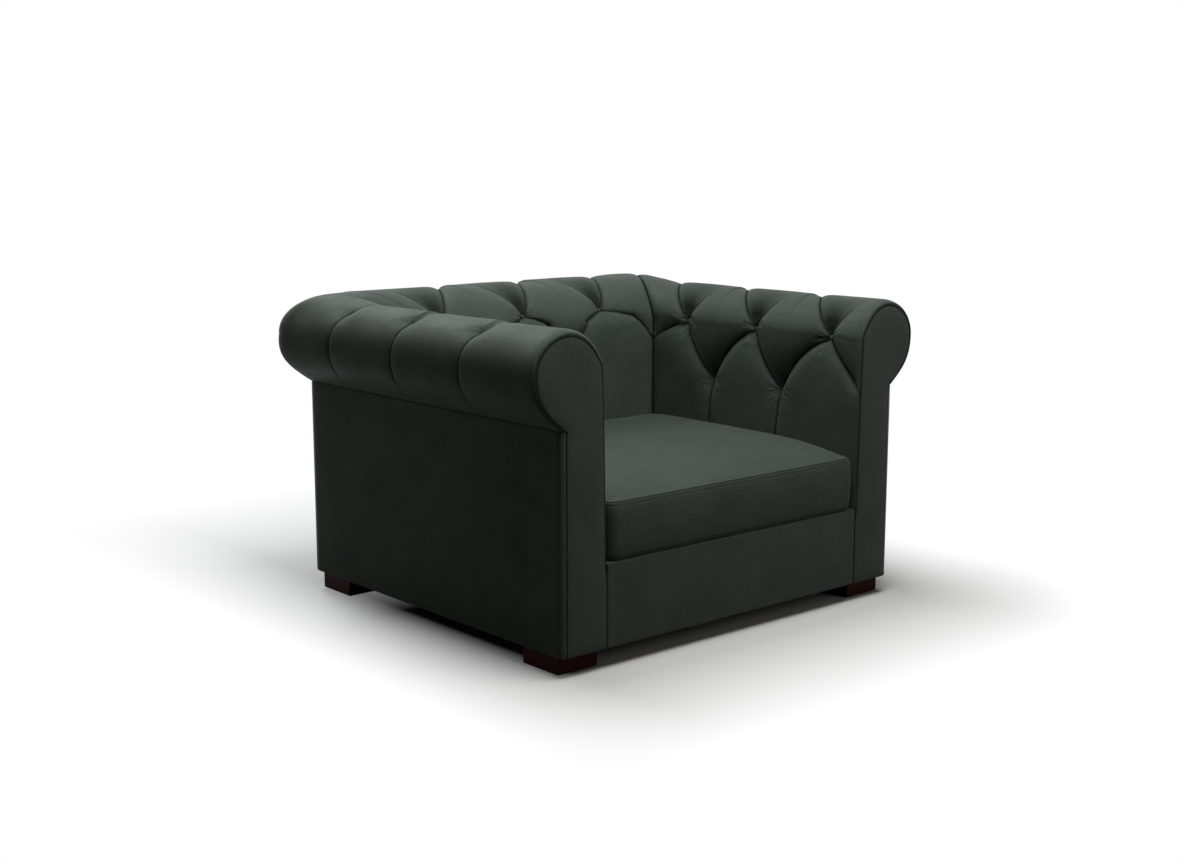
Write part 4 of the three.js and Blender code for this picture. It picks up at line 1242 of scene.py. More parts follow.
panelForm = {
    "thickness": 0.0036,
    "rim": 0.0024,
    "bulge": 0.0018,
    "cell": 0.014,
    "edgeRun": 0.09,       # over which it reaches its full bulge
    "waves": 0.0007,
    # painted shade along sewn lines
    "seamShade": 0.7,
    "cornerArc": 0.005,    # in plan, at the rear corners
    "frontArc": 0.0038,    # and at the front ones, round which the leather laps
    "lap": 0.0135,
    "lapBack": 0.0012,     # of the lap behind the facing's front
    "railCell": 0.007,
    "railRim": 0.003,
    "railThickness": 0.0135,
    "railBulge": 0.0012,
    "railRound": 0.0022,
    "railLedge": 0.080,
    "railShade": 0.0045,   # width of the painted shadow along the edge that the cushion lies on
}

# Front facings: rings of the scroll's outline, from the back edge over the rounded rim to the middle
facingForm = {
    "rim": 0.003,
    "backRim": 0.002,
    "clear": 0.0003,      # between the facing and the leather that laps round it
    "pillow": 0.0022,
    "pillowRun": 0.014,
    "insets": (0.003, 0.007, 0.012, 0.019, 0.028, 0.040),
    "waves": 0.0006,
    "shade": 0.9,         # painted shade along its rim, in the groove round it
    "innerPoints": 16,
    "outerPoints": 50,
    "footPoints": 14,
}


def facingOutline(inset):
    # every ring has the same number of points on each stretch
    heads = padRows[::2]
    x, none, z = profileAt(heads, taperAt(heads) + lipAt(heads) + facingForm["clear"] + inset)
    foot = bodyBottom + inset
    outerX = panelX - panelForm["lap"] - facingForm["clear"] - inset
    innerZ = np.linspace(foot, z[0], facingForm["innerPoints"])[:-1]
    outerZ = np.linspace(panelTop - fitGap - inset, foot, facingForm["outerPoints"])
    across = np.linspace(outerX, x[0], facingForm["footPoints"])[1:-1]
    xs = np.concatenate([np.full(len(innerZ), x[0]), x, np.full(len(outerZ), outerX), across])
    zs = np.concatenate([innerZ, z, outerZ, np.full(len(across), foot)])
    return xs, zs


def facingRings():
    rim, backRim = facingForm["rim"], facingForm["backRim"]
    back = frontY + chairForm["facingThickness"]
    rings = [(backRim, back), (0.0, back - backRim)]
    for turn in np.linspace(0, quarterTurn, 6):
        rings.append((rim * (1 - math.cos(turn)), frontY + rim * (1 - math.sin(turn))))
    for inset in facingForm["insets"]:
        swell = facingForm["pillow"] * (1 - math.exp(-inset / facingForm["pillowRun"]))
        rings.append((rim + inset, frontY - swell))
    return rings


def addFacings():
    rings = facingRings()
    points = []
    for inset, y in rings:
        xs, zs = facingOutline(inset)
        points += [(x, y, z) for x, z in zip(xs, zs)]
    samples = len(xs)
    points = np.array(points)
    waves = softWaves(points[:, 0], points[:, 2], points[:, 2] * 0, 31, facingForm["waves"])
    points[:, 1] += waves * (points[:, 1] < frontY)
    faces = ringFaces(len(rings), samples)
    faces.append(tuple(range(samples)))
    faces.append(tuple(range((len(rings) - 1) * samples, len(rings) * samples)))
    # painted shade on the rim rings, fading out over the rings in front of them
    shades = [facingForm["shade"] * (1 - float(smooth((k - 3) / 4))) for k in range(len(rings))]
    for side, sign in bothSides:
        piece = makePiece(side + "_facing_leather", points * np.array([sign, 1, 1]), faces, "facingLeather",
                          layers={"crease": np.repeat(shades, samples)})
        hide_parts(side + "_front_facing")


addFacings()


# Padded sheets for the plain sides: a grid over (u, v) whose rim turns inwards, closed behind
def edged(low, high, cell, radius, arcs=4):
    turn = radius * (1 - np.cos(np.linspace(0, quarterTurn, arcs + 1)))
    middle = spaced(low + radius, high - radius, lambda v: cell + 0 * v)[1:-1]
    return np.concatenate([low + turn, middle, (high - turn)[::-1]])


def rimDrop(places, low, high, radius):
    inside = np.clip(np.minimum(places - low, high - places), 0, radius)
    return radius - np.sqrt(np.maximum(radius**2 - (radius - inside) ** 2, 0))


def sheetPiece(name, spot, spans, form, material, node, seed, seams=()):
    # spot gives the place for (u, v, depth); seams are (axis, place, depth, width) of sewn lines
    (lowU, highU), (lowV, highV) = spans
    cell, rim, thickness, bulge = form
    lines = [edged(lowU, highU, cell, rim), edged(lowV, highV, cell, rim)]
    for axis, place, sink, width in seams:
        away = lines[axis][np.abs(lines[axis] - place) > width * 2]
        extra = place + width * np.array([-1.5, -0.75, 0, 0.75, 1.5])
        lines[axis] = np.unique(np.concatenate([away, extra]))
    u, v = np.meshgrid(*lines)
    depth = rimDrop(u, lowU, highU, rim) + rimDrop(v, lowV, highV, rim)
    depth = np.minimum(depth, thickness - 0.001)
    run = panelForm["edgeRun"]
    middle = smooth(np.minimum(u - lowU, highU - u) / run) * smooth(np.minimum(v - lowV, highV - v) / run)
    depth += (softWaves(u, v, u * 0, seed, panelForm["waves"]) - bulge) * middle
    # painted shade along each seam
    near = np.zeros(u.shape)
    for axis, place, sink, width in seams:
        line = bell(((u, v)[axis] - place) / width)
        depth += sink * line
        near = np.maximum(near, panelForm["seamShade"] * line)
    front = np.stack(spot(u, v, depth), axis=-1).reshape(-1, 3)
    back = np.stack(spot(u, v, depth * 0 + thickness), axis=-1).reshape(-1, 3)
    rows, columns = u.shape
    size = rows * columns
    faces = gridPairFaces(rows, columns, size)
    border = gridBorder(rows, columns)
    for a, b in zip(border, border[1:] + border[:1]):
        faces.append((a, b, b + size, a + size))
    layers = {"crease": np.concatenate([near.reshape(-1), np.zeros(size)])}
    flags = np.concatenate([np.zeros(size, bool), np.ones(size, bool)])
    piece = makePiece(name, np.concatenate([front, back]), faces, material, creased=flags, layers=layers)
    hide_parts(node)
    return piece


cornerArc = panelForm["cornerArc"]


def sidePanelSpot(sign):
    frontArc = panelForm["frontArc"]
    front = frontY + panelForm["lapBack"]
    flat = panelForm["lap"] - frontArc
    bend = flat + frontArc * quarterTurn
    straight = bend + rearY - cornerArc - front - frontArc

    def spot(u, v, depth):
        # v is the height, u runs out over the front, round the corner, back along the side and round the rear
        first = np.clip((u - flat) / frontArc, 0, quarterTurn)
        last = np.clip((u - straight) / cornerArc, 0, quarterTurn)
        x = panelX - frontArc + np.minimum(u - flat, 0) + (frontArc - depth) * np.sin(first)
        y = front + frontArc - (frontArc - depth) * np.cos(first) + np.clip(u - bend, 0, straight - bend)
        x = np.where(u < straight, x, panelX - cornerArc + (cornerArc - depth) * np.cos(last))
        y = np.where(u < straight, y, rearY - cornerArc + (cornerArc - depth) * np.sin(last))
        return sign * x, y, v

    return spot, straight + cornerArc * quarterTurn


def backPanelSpot(u, v, depth):
    return u, rearY - depth, v


def railSpot(u, v, depth):
    # v runs up the front, over the rounded edge and back along the ledge
    rise = railHigh.z - panelForm["railRound"] - bodyBottom
    bend = panelForm["railRound"]
    turn = np.clip((v - rise) / bend, 0, quarterTurn)
    radius = np.maximum(bend - depth, 0.0002)
    over = np.maximum(v - rise - bend * quarterTurn, 0)
    past = np.maximum(depth - bend, 0) * (turn > 0)
    y = np.where(v < rise, frontY + depth, frontY + bend - radius * np.cos(turn) + over)
    z = np.where(v < rise, bodyBottom + v, railHigh.z - bend + radius * np.sin(turn) - past)
    return u, np.maximum(y, frontY + depth), z


def addPanels():
    form = [panelForm[key] for key in ("cell", "rim", "thickness", "bulge")]
    for side, sign in bothSides:
        spot, length = sidePanelSpot(sign)
        piece = sheetPiece(side + "_panel_leather", spot, ((0, length), (bodyBottom, sidePanelHigh.z)),
                           form, "panelLeather", side + "_outside_panel", 41)
    half = panelX - cornerArc - fitGap
    piece = sheetPiece("back_panel_leather", backPanelSpot, ((-half, half), (bodyBottom, backPanelHigh.z)),
                       form, "panelLeather", "back_outside_panel", 43)
    rise = railHigh.z - panelForm["railRound"] - bodyBottom
    length = rise + panelForm["railRound"] * quarterTurn + panelForm["railLedge"] - panelForm["railRound"]
    # painted shadow along the rail's top edge under the cushion; the leather is not sunk there
    edge = (1, rise + 0.003, 0.0, panelForm["railShade"])
    form = [panelForm[key] for key in ("railCell", "railRim", "railThickness", "railBulge")]
    piece = sheetPiece("rail_cover_leather", railSpot, ((railLow.x, railHigh.x), (0, length)),
                       form, "facingLeather", "front_rail_cover", 47, [edge])


addPanels()
print("facings, panels and rail cover done")

# Stitches: short arched lengths of thread along a path of places
stitchForm = {
    "length": 0.0062,
    "gap": 0.0016,
    "thick": 0.00048,
    "rise": 0.00035,
    "sides": 5,
    "shares": (0.0, 0.18, 0.5, 0.82, 1.0),     # of its length at which it has rings of points
    "endSize": 0.55,
    "endSink": 0.0002,
}


def addStitches(name, paths, body="chair"):
    # each path is (places, directions away from the leather, closed)
    points, faces = [], []
    sides = stitchForm["sides"]
    for places, outs, closed in paths:
        places, outs = np.asarray(places, float), np.asarray(outs, float)
        if closed:
            places, outs = np.vstack([places, places[:1]]), np.vstack([outs, outs[:1]])
        run = summed(np.linalg.norm(np.diff(places, axis=0), axis=1))
        count = int(run[-1] / (stitchForm["length"] + stitchForm["gap"]))
        pitch = run[-1] / count
        for i in range(count):
            first = len(points)
            for share in stitchForm["shares"]:
                at = i * pitch + stitchForm["length"] * share
                spot, out, ahead = [np.array([np.interp(where, run, values[:, axis]) for axis in range(3)])
                                    for where, values in ((at, places), (at, outs), (at + 0.001, places))]
                ahead -= spot
                ahead /= max(np.linalg.norm(ahead), 1e-9)
                out -= ahead * out.dot(ahead)
                out /= max(np.linalg.norm(out), 1e-9)
                side = np.cross(ahead, out)
                ending = share in (0.0, 1.0)
                radius = stitchForm["thick"] * (stitchForm["endSize"] if ending else 1.0)
                lift = stitchForm["rise"] * math.sin(math.pi * share) - stitchForm["endSink"] * ending
                for turn in turnsOf(sides):
                    around = out * (lift + radius * math.cos(turn)) + side * radius * math.sin(turn)
                    points.append(spot + around)
            faces += ringFaces(len(stitchForm["shares"]), sides, first)
            faces.append(tuple(range(first, first + sides))[::-1])
            faces.append(tuple(range(len(points) - sides, len(points))))
    piece = makePiece(name, points, faces, "thread", body=body)


# Seat cushion: top and bottom panels sewn to a border, with a topstitched line beside each seam
cushionForm = {
    "height": 0.1290,        # of the border, from seam to seam
    "crown": 0.036,
    "crownPowers": {"sides": 24, "front": 3.8, "rear": 16},
    "widen": 0.0015,
    "corner": 0.026,
    "cornerDraw": 0.001,
    "cornerPower": 8,
    "cornerShrink": 0.4,     # share of an inset that the corners' radius loses
    "edge": 0.006,           # rounding from each panel into the border
    "bulge": {"sides": 0.0006, "front": 0.0060, "rear": 0.0},
    "seamAt": 0.0036,        # from the flat panel round the edge to the seam
    "seamDepth": 0.0030,
    "seamWidth": 0.0013,
    "stitchAt": 0.0120,      # and on to the topstitching
    "stitchDepth": 0.0010,
    "stitchWidth": 0.0011,
    "stitchNear": 0.0007,    # to it, for the ring of points that the thread follows
    "foamInset": 0.0065,
    "across": 96,
    "deep": 92,
    "denser": 0.95,          # share of a half turn that draws the columns towards the edges
    "borderCells": (0.0012, 0.006),      # at the seams, and what they grow by
    "borderRun": (0.016, 0.03),
    "waves": 0.0016,
    "waveRun": 0.06,
    "borderWaves": 0.0010,
    # painted shade along the seams and the topstitching: its width and its share at the stitching
    "shadeWidth": 0.0015,
    "stitchShade": 0.7,
}
cushionLow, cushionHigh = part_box("cushion_cover")
cushionHalfX = cushionHigh.x + cushionForm["widen"]
cushionMidY = (cushionLow.y + cushionHigh.y) / 2
cushionHalfY = (cushionHigh.y - cushionLow.y) / 2
cushionTop = cushionLow.z + cushionForm["height"]


def cushionPlan(u, v, insetX, insetY):
    # the square (u, v) from -1 to 1 laid into the cushion's rounded plan
    draw = cushionForm["cornerDraw"]
    halfX = cushionHalfX - insetX - draw * np.abs(v) ** cushionForm["cornerPower"]
    halfY = cushionHalfY - insetY - draw * np.abs(u) ** cushionForm["cornerPower"]
    radius = cushionForm["corner"] - insetX * cushionForm["cornerShrink"]
    x, y = u * halfX, v * halfY
    across, along = np.abs(x) - (halfX - radius), np.abs(y) - (halfY - radius)
    turned = (across > 0) & (along > 0)
    pull = cornerPull(across, along, turned)
    x = np.where(turned, np.sign(x) * (halfX - radius + across * pull), x)
    y = np.where(turned, np.sign(y) * (halfY - radius + along * pull), y)
    return x, cushionMidY + y


def borderSection():
    # inset, drop, share of the height and outward direction down the border, from seam to seam
    edge, height = cushionForm["edge"], cushionForm["height"]
    turns = np.linspace(0, quarterTurn, 13)
    section = [(edge * (1 - math.sin(t)), edge * (1 - math.cos(t)), math.sin(t), math.cos(t)) for t in turns]
    (cell, grown), (start, way) = cushionForm["borderCells"], cushionForm["borderRun"]
    cellAt = lambda v: cell + grown * smooth((np.minimum(v, height - v) - start) / way)
    section += [(0.0, drop, 1.0, 0.0) for drop in spaced(edge, height - edge, cellAt)[1:-1]]
    section += [(inset, height - drop, out, -up) for inset, drop, out, up in section[:13][::-1]]
    insets, drops, outs, ups = np.array(section).T
    run = summed(np.hypot(np.diff(insets), np.diff(drops)))
    return insets, drops, run, np.clip((drops - edge) / (height - 2 * edge), 0, 1), outs, ups


def cushionRise(u, v):
    powers = cushionForm["crownPowers"]
    front = 1 - np.abs(np.minimum(v, 0)) ** powers["front"]
    rear = 1 - np.abs(np.maximum(v, 0)) ** powers["rear"]
    return (1 - np.abs(u) ** powers["sides"]) * front * rear


def cushionMesh(shrink=0.0):
    insets, drops, run, share, outs, lifts = borderSection()
    countU, countV = cushionForm["across"], cushionForm["deep"]
    bend = quarterTurn * cushionForm["denser"]
    u, v = np.meshgrid(*[np.sin(np.linspace(-1, 1, n) * bend) / math.sin(bend) for n in (countU, countV)])
    edge = cushionForm["edge"]
    x, y = cushionPlan(u, v, edge + shrink, edge + shrink)
    fromEdge = np.minimum((1 - np.abs(u)) * cushionHalfX, (1 - np.abs(v)) * cushionHalfY)
    wave = softWaves(x, y, x * 0, 61, cushionForm["waves"]) * smooth(fromEdge / cushionForm["waveRun"])
    topZ = cushionTop + cushionForm["crown"] * cushionRise(u, v) + wave - shrink
    bottomZ = np.full(x.shape, cushionLow.z + shrink)
    top = np.stack([x, y, topZ], axis=-1).reshape(-1, 3)
    bottom = np.stack([x, y, bottomZ], axis=-1).reshape(-1, 3)
    size = countU * countV
    border = np.array(gridBorder(countV, countU))
    ringU, ringV = u.reshape(-1)[border], v.reshape(-1)[border]
    bulge = cushionForm["bulge"]
    total = run[-1]
    seamShade = np.zeros(size)
    points, near, stitches = [top], [seamShade], []
    for k in range(1, len(insets) - 1):
        along = min(run[k], total - run[k])
        fromSeam = abs(along - cushionForm["seamAt"])
        stitch = bell((along - cushionForm["stitchAt"]) / cushionForm["stitchWidth"])
        sink = cushionForm["seamDepth"] * bell(fromSeam / cushionForm["seamWidth"])
        sink += cushionForm["stitchDepth"] * stitch
        swell = math.sin(math.pi * share[k]) ** 0.5 if 0 < share[k] < 1 else 0.0
        swellY = swell * np.where(ringV < 0, bulge["front"], bulge["rear"])
        inset = insets[k] + sink * outs[k] + shrink
        px, py = cushionPlan(ringU, ringV, inset - swell * bulge["sides"], inset - swellY)
        z = np.full(len(px), cushionTop - drops[k] - sink * lifts[k] + shrink * (2 * share[k] - 1))
        wave = softWaves(px, py, z, 67, cushionForm["borderWaves"])
        py = py + wave * math.sin(math.pi * share[k]) * (ringV < 0)
        points.append(np.stack([px, py, z], axis=-1))
        # painted shade along the seam and the topstitching
        shade = max(bell(fromSeam / cushionForm["shadeWidth"]), cushionForm["stitchShade"] * stitch)
        near.append(np.full(len(px), shade))
        if abs(along - cushionForm["stitchAt"]) < cushionForm["stitchNear"] and shrink == 0:
            stitches.append((points[-1], outs[k], lifts[k], run[k] < total / 2))
    points.append(bottom)
    near.append(seamShade)
    last = size + (len(insets) - 2) * len(border)
    faces = gridPairFaces(countV, countU, last)
    rings = [border] + [size + k * len(border) + np.arange(len(border)) for k in range(len(insets) - 2)]
    rings.append(border + last)
    for upper, lower in zip(rings[:-1], rings[1:]):
        for i in range(len(border)):
            j = (i + 1) % len(border)
            faces.append((upper[i], lower[i], lower[j], upper[j]))
    return np.concatenate(points), faces, np.concatenate(near), stitches


def stitchPath(ring, out, lift):
    ahead = np.roll(ring, -1, axis=0) - np.roll(ring, 1, axis=0)
    side = np.stack([ahead[:, 1], -ahead[:, 0], ahead[:, 2] * 0], axis=-1)
    side /= np.maximum(np.linalg.norm(side, axis=1, keepdims=True), 1e-9)
    return ring, side * out + np.array([0, 0, 1.0]) * lift, True


def addCushion():
    points, faces, near, stitches = cushionMesh()
    piece = makePiece("cushion_leather", points, faces, "cushionLeather", body="seat_cushion",
                      layers={"crease": near})
    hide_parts("cushion_cover")
    paths = []
    for upper in (True, False):
        paths.append(stitchPath(*[s[:3] for s in stitches if s[3] == upper][0]))
    addStitches("cushion_stitches", paths, body="seat_cushion")
    points, faces, near, stitches = cushionMesh(cushionForm["foamInset"])
    core = makePiece("cushion_foam", points, faces, "seatFoam", body="seat_cushion")
    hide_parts("cushion_core")


addCushion()
print("cushion done")

# Zip at the back of the cushion: woven tape, two rows of coil and a slider with a ring pull
zipForm = {
    "edgeThickness": 0.0008,
    "across": (-1, -0.97, -0.6, -0.22, -0.16, 0, 0.16, 0.22, 0.6, 0.97, 1),
    "steps": 160,
    "ripples": ((0.00012, 210, 0), (0.0001, 67, 1)),     # height, pace and start of each
    "coilPitch": 0.0018,
    "coilHeight": 0.0024,    # of each row, across the tape
    "coilDepth": 0.0011,
    "coilEnd": 0.006,        # from the tape's ends
    "coilShare": 0.62,       # of the pitch that a block takes up
    "coilOver": 0.0004,      # past the middle
    "coilBevel": 0.00028,
    "stitchEnd": 0.002,
    "stitchLift": 0.0002,
    "stitchIn": 0.0028,      # from the tape's edges
    "pullLength": 0.017,
    "pullWidth": 0.008,
}
sliderForm = {
    "bodyShare": 0.62,       # of the slider's thickness
    "outlinePoints": 48,
    "squareness": 0.62,
    "taper": (0.80, 0.20, 0.10),
    "bevel": 0.0005,
    "crown": (0.0022, 0.0002),
    "bridge": ((-0.0040, 0.0004), (-0.0038, 0.0011), (-0.0026, 0.0017), (0, 0.0019), (0.0026, 0.0017),
               (0.0038, 0.0011), (0.0040, 0.0004)),
    "bridgeHalf": (0.0005, 0.0011),
    "bridgeSides": 10,
    "pullLift": 0.0010,
    "pullEye": 0.0012,       # from the pull's end to the middle of its eye
    "pullSquareness": 0.7,
    "pullPoints": 40,
    # how much wider than the pull each ring of its points is, and its height
    "pullRings": ((0, 0.0001), (0.0001, 0.0003), (0.0001, 0.0007), (0, 0.0009),
                  (-0.0021, 0.0009), (-0.0022, 0.0007), (-0.0022, 0.0003), (-0.0021, 0.0001)),
}
zipLow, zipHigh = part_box("cushion_zip")
sliderLow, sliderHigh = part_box("zip_slider")
zipMiddle = (zipLow.z + zipHigh.z) / 2


def addZip():
    # tape: a flat section drawn along x, thinner at its edges and slightly wavy
    half = (zipHigh.z - zipLow.z) / 2
    thin = zipForm["edgeThickness"]
    middle = zipHigh.y - zipForm["coilDepth"] - zipLow.y
    across = zipForm["across"]
    thick = [0.5 * thin, thin, thin, thin, middle, middle, middle, thin, thin, thin, 0.5 * thin]
    xs = np.linspace(zipLow.x, zipHigh.x, zipForm["steps"])
    points = []
    for x in xs:
        ripple = sum(size * math.sin(x * pace + start) for size, pace, start in zipForm["ripples"])
        rear = [(x, zipLow.y + t + ripple * (t > thin * 0.6), zipMiddle + a * half)
                for a, t in zip(across, thick)]
        points += rear + [(x, zipLow.y, zipMiddle + a * half) for a in across[::-1]]
    faces = cappedRings(len(xs), 2 * len(across))
    tape = makePiece("zip_tape", points, faces, "zipTape", body="seat_cushion")
    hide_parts("cushion_zip")

    # coil: small bevelled blocks, the two rows shifted by half a pitch so that they mesh
    points, faces = [], []
    pitch, reach, depth = zipForm["coilPitch"], zipForm["coilHeight"], zipForm["coilDepth"]
    ends = (zipLow.x + zipForm["coilEnd"], zipHigh.x - zipForm["coilEnd"])
    for row, shift in ((-1, 0.0), (1, 0.5)):
        for i in range(int((ends[1] - ends[0]) / pitch)):
            x = ends[0] + (i + shift) * pitch
            past = x + pitch * zipForm["coilShare"]
            low, high = sorted((zipMiddle - row * zipForm["coilOver"], zipMiddle + row * reach))
            faces += cappedRings(2, 4, len(points))
            for y, inset in ((zipHigh.y - depth, 0.0), (zipHigh.y, zipForm["coilBevel"])):
                points += [(x + inset, y, low + inset), (past - inset, y, low + inset),
                           (past - inset, y, high - inset), (x + inset, y, high - inset)]
    coil = makePiece("zip_coil", points, faces, "coilNylon", body="seat_cushion")
    line = np.linspace(zipLow.x + zipForm["stitchEnd"], zipHigh.x - zipForm["stitchEnd"], 60)
    paths = []
    for side in (-1, 1):
        level = zipMiddle + side * (half - zipForm["stitchIn"])
        places = [(x, zipLow.y + thin + zipForm["stitchLift"], level) for x in line]
        paths.append((places, np.tile((0.0, 1.0, 0.0), (len(line), 1)), False))
    addStitches("zip_stitches", paths, body="seat_cushion")


def addSlider():
    midX = (sliderLow.x + sliderHigh.x) / 2
    length, width = sliderHigh.x - sliderLow.x, sliderHigh.z - sliderLow.z
    thick = (sliderHigh.y - sliderLow.y) * sliderForm["bodyShare"]
    # body: a shield that is wide where the rows part, with a rounded rim
    turns = np.linspace(0, 2 * math.pi, sliderForm["outlinePoints"], endpoint=False)
    outline = []
    whole, once, twice = sliderForm["taper"]
    for t in turns:
        taper = whole - once * math.cos(t) - twice * math.cos(2 * t)
        outline.append((squared(math.cos(t), sliderForm["squareness"]) * length / 2,
                        squared(math.sin(t), sliderForm["squareness"]) * width / 2 * min(taper, 1.0)))
    points = []
    bevel, (crownIn, crownUp) = sliderForm["bevel"], sliderForm["crown"]
    for inset, y in ((bevel, 0), (0, bevel), (0, thick - bevel), (bevel, thick), (crownIn, thick + crownUp)):
        scale = 1 - inset / (width / 2)
        points += [(midX + x * scale, sliderLow.y + y, zipMiddle + z * scale) for x, z in outline]
    faces = cappedRings(5, len(turns))
    # bridge: an arch that holds the pull
    sides, (halfY, halfZ) = sliderForm["bridgeSides"], sliderForm["bridgeHalf"]
    faces += cappedRings(len(sliderForm["bridge"]), sides, len(points))
    for dx, dy in sliderForm["bridge"]:
        points += [(midX + dx, sliderLow.y + thick + dy + halfY * math.cos(turn),
                    zipMiddle + halfZ * math.sin(turn)) for turn in turnsOf(sides)]
    # pull: a flat ring with a long eye, hanging from the bridge
    first, count = len(points), sliderForm["pullPoints"]
    bottom = sliderLow.y + thick + sliderForm["pullLift"]
    drop = zipForm["pullLength"] / 2 - sliderForm["pullEye"]
    for grow, y in sliderForm["pullRings"]:
        for turn in turnsOf(count):
            x = squared(math.cos(turn), sliderForm["pullSquareness"]) * (zipForm["pullWidth"] / 2 + grow)
            z = squared(math.sin(turn), sliderForm["pullSquareness"]) * (zipForm["pullLength"] / 2 + grow)
            points.append((midX + x, bottom + y, zipMiddle - drop + z))
    faces += ringFaces(len(sliderForm["pullRings"]), count, first)
    last = len(points) - count
    for i in range(count):
        j = (i + 1) % count
        faces.append((last + i, last + j, first + j, first + i))
    slider = makePiece("zip_slider_metal", points, faces, "zipBrass", body="zip_slider")
    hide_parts("zip_slider")


addZip()
addSlider()

# Platform under the cushion: the deck pad in its cloth, drawn down along two sewn lines
deckForm = {
    "rim": 0.006,
    "sink": 0.0012,
    "cell": 0.012,
    "seamDepth": 0.0016,
    "seamWidth": 0.0022,
}


def addDeck():
    low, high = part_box("deck_pad")
    third = (high.x - low.x) / 6
    seams = [(0, place, deckForm["seamDepth"], deckForm["seamWidth"]) for place in (-third, third)]
    form = (deckForm["cell"], deckForm["rim"], high.z - low.z - fitGap, -deckForm["sink"])
    piece = sheetPiece("deck_cloth", lambda u, v, depth: (u, v, high.z - depth),
                       ((low.x, high.x), (low.y, high.y)), form, "deckCloth", "deck_pad", 53, seams)


addDeck()
print("zip, slider and deck done")

# Camera, as the photograph was taken
cameraPlace = {
    "position": (-2.58190, -3.00958, 1.09357),
    "direction": (0.642543, 0.746511, -0.172802),
    "lens": 49.05,
    "sensor": 36.0,
}


def addAimed(name, data, place, direction):
    # a lamp or camera that looks along direction
    added = bpy.data.objects.new(name, data)
    added.location = place
    added.rotation_mode = "QUATERNION"
    added.rotation_quaternion = Vector(direction).to_track_quat("-Z", "Y")
    bpy.context.scene.collection.objects.link(added)
    return added


def addCamera():
    lens = bpy.data.cameras.new("camera")
    lens.lens = cameraPlace["lens"]
    lens.sensor_width = cameraPlace["sensor"]
    bpy.context.scene.camera = addAimed("camera", lens, cameraPlace["position"], cameraPlace["direction"])


addCamera()

# Studio: a white floor and surroundings for the camera, soft boxes for the chair
studio = {
    # each soft box: its place, size, power and colour
    "lights": {
        "topBox": ((-0.10, -0.95, 2.8), (1.6, 1.4), 72, (1.0, 0.995, 0.98)),
        "rearBox": ((0.0, 2.2, 2.6), (0.8, 0.9), 47, (0.94, 0.98, 1.0)),
        "frontBox": ((0.9, -3.4, 1.5), (1.6, 1.6), 13, (1.0, 0.975, 0.94)),
    },
    "aim": (0.0, 0.0, 0.4),
    "ambient": 0.022,
    "ambientColour": (0.9, 0.95, 1, 1),
    "floorHalf": 9.0,
    "floorColour": 0.57,
    "floorBounce": 0.10,           # the floor's colour for the light that it sends to the chair
    "clearLeft": (-0.05, 0.29),    # distances from the chair's side between which the floor turns white
    "clearFront": (0.06, 0.46),
    "clearRear": (-0.40, 1.00),
    "underside": 0.45,             # painted shadow under the chair: brightness of the paint there, against the rest
    "underShadowReach": (-0.22, 0.0),    # distances from the chair's side between which the paint darkens to that painted shadow
}


def addStudio():
    for name, (place, size, power, colour) in studio["lights"].items():
        lamp = bpy.data.lights.new(name, "AREA")
        lamp.shape = "RECTANGLE"
        lamp.size, lamp.size_y = size
        lamp.energy = power
        lamp.color = colour
        addAimed(name, lamp, place, Vector(studio["aim"]) - Vector(place))

    world = bpy.data.worlds.new("surroundings")
    bpy.context.scene.world = world
    tree, surface = clearedTree(world, "ShaderNodeOutputWorld")
    soft = addNode(tree, "ShaderNodeBackground", Color=studio["ambientColour"], Strength=studio["ambient"])
    white = addNode(tree, "ShaderNodeBackground", Color=(1, 1, 1, 1), Strength=1.0)
    shaderMix(tree, seenShare(tree), soft, white, surface)

    half = studio["floorHalf"]
    mesh = bpy.data.meshes.new("floor")
    corners = [(-half, -half, 0), (half, -half, 0), (half, half, 0), (-half, half, 0)]
    mesh.from_pydata(corners, [], [(0, 1, 2, 3)])
    floor = bpy.data.objects.new("floor", mesh)
    bpy.context.scene.collection.objects.link(floor)
    mesh.materials.append(floorMaterial())


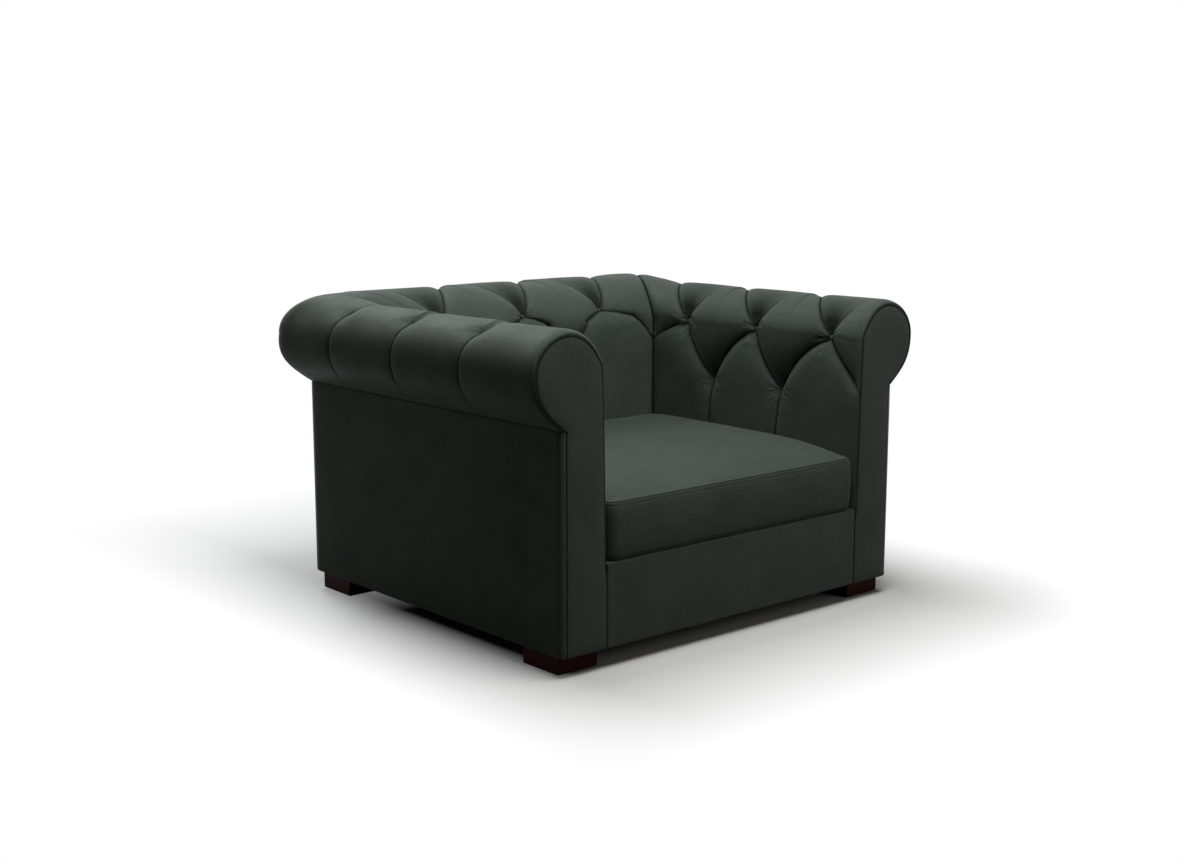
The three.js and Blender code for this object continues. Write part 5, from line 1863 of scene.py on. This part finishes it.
def seenShare(tree):
    # 1 for rays that show the surroundings: from the camera, in gloss and through glass
    path = tree.nodes.new("ShaderNodeLightPath")
    share = mathNode(tree, "MAXIMUM", path.outputs["Is Camera Ray"], path.outputs["Is Glossy Ray"])
    return mathNode(tree, "MAXIMUM", share, path.outputs["Is Transmission Ray"])


def floorMaterial():
    # diffuse paint round the chair, so that its shadow shows, with a painted shadow darkening it under the
    # chair, and plain white further off
    material = bpy.data.materials.new("floor")
    tree, surface = clearedTree(material, "ShaderNodeOutputMaterial")
    bright, dim = studio["floorColour"], studio["floorBounce"]
    spot = addNode(tree, "ShaderNodeTexCoord").outputs["Object"]
    parts = addNode(tree, "ShaderNodeSeparateXYZ", Vector=spot)
    left = mathNode(tree, "SUBTRACT", -panelX, parts.outputs[0])
    right = mathNode(tree, "SUBTRACT", parts.outputs[0], panelX)
    front = mathNode(tree, "SUBTRACT", frontY, parts.outputs[1])
    rear = mathNode(tree, "SUBTRACT", parts.outputs[1], rollY)
    offset = addNode(tree, "ShaderNodeCombineXYZ", X=mathNode(tree, "MAXIMUM", right, 0.0),
                     Y=mathNode(tree, "MAXIMUM", front, 0.0)).outputs[0]
    away = addNode(tree, "ShaderNodeVectorMath", {"operation": "LENGTH"}, Vector=offset).outputs["Value"]
    nearest = left
    for distance in (right, front, rear):
        nearest = mathNode(tree, "MAXIMUM", nearest, distance)
    # painted shadow: the paint grows darker under the chair
    below = rangeNode(tree, nearest, *studio["underShadowReach"], bright * studio["underside"], bright)
    colour = colourMix(tree, seenShare(tree), (dim, dim, dim, 1), below)
    paint = addNode(tree, "ShaderNodeBsdfDiffuse", Color=colour)
    shaded = 1.0
    for distance, reach in ((left, "clearLeft"), (away, "clearFront"), (rear, "clearRear")):
        shaded = mathNode(tree, "MULTIPLY", shaded, rangeNode(tree, distance, *studio[reach], 1.0, 0.0))
    clear = mathNode(tree, "MULTIPLY", mathNode(tree, "SUBTRACT", 1.0, shaded), seenShare(tree))
    glow = addNode(tree, "ShaderNodeEmission", Color=(1, 1, 1, 1), Strength=1.0)
    shaderMix(tree, clear, paint, glow, surface)
    return material


addStudio()
bpy.context.scene.view_settings.view_transform = "Standard"
print("studio and camera set")
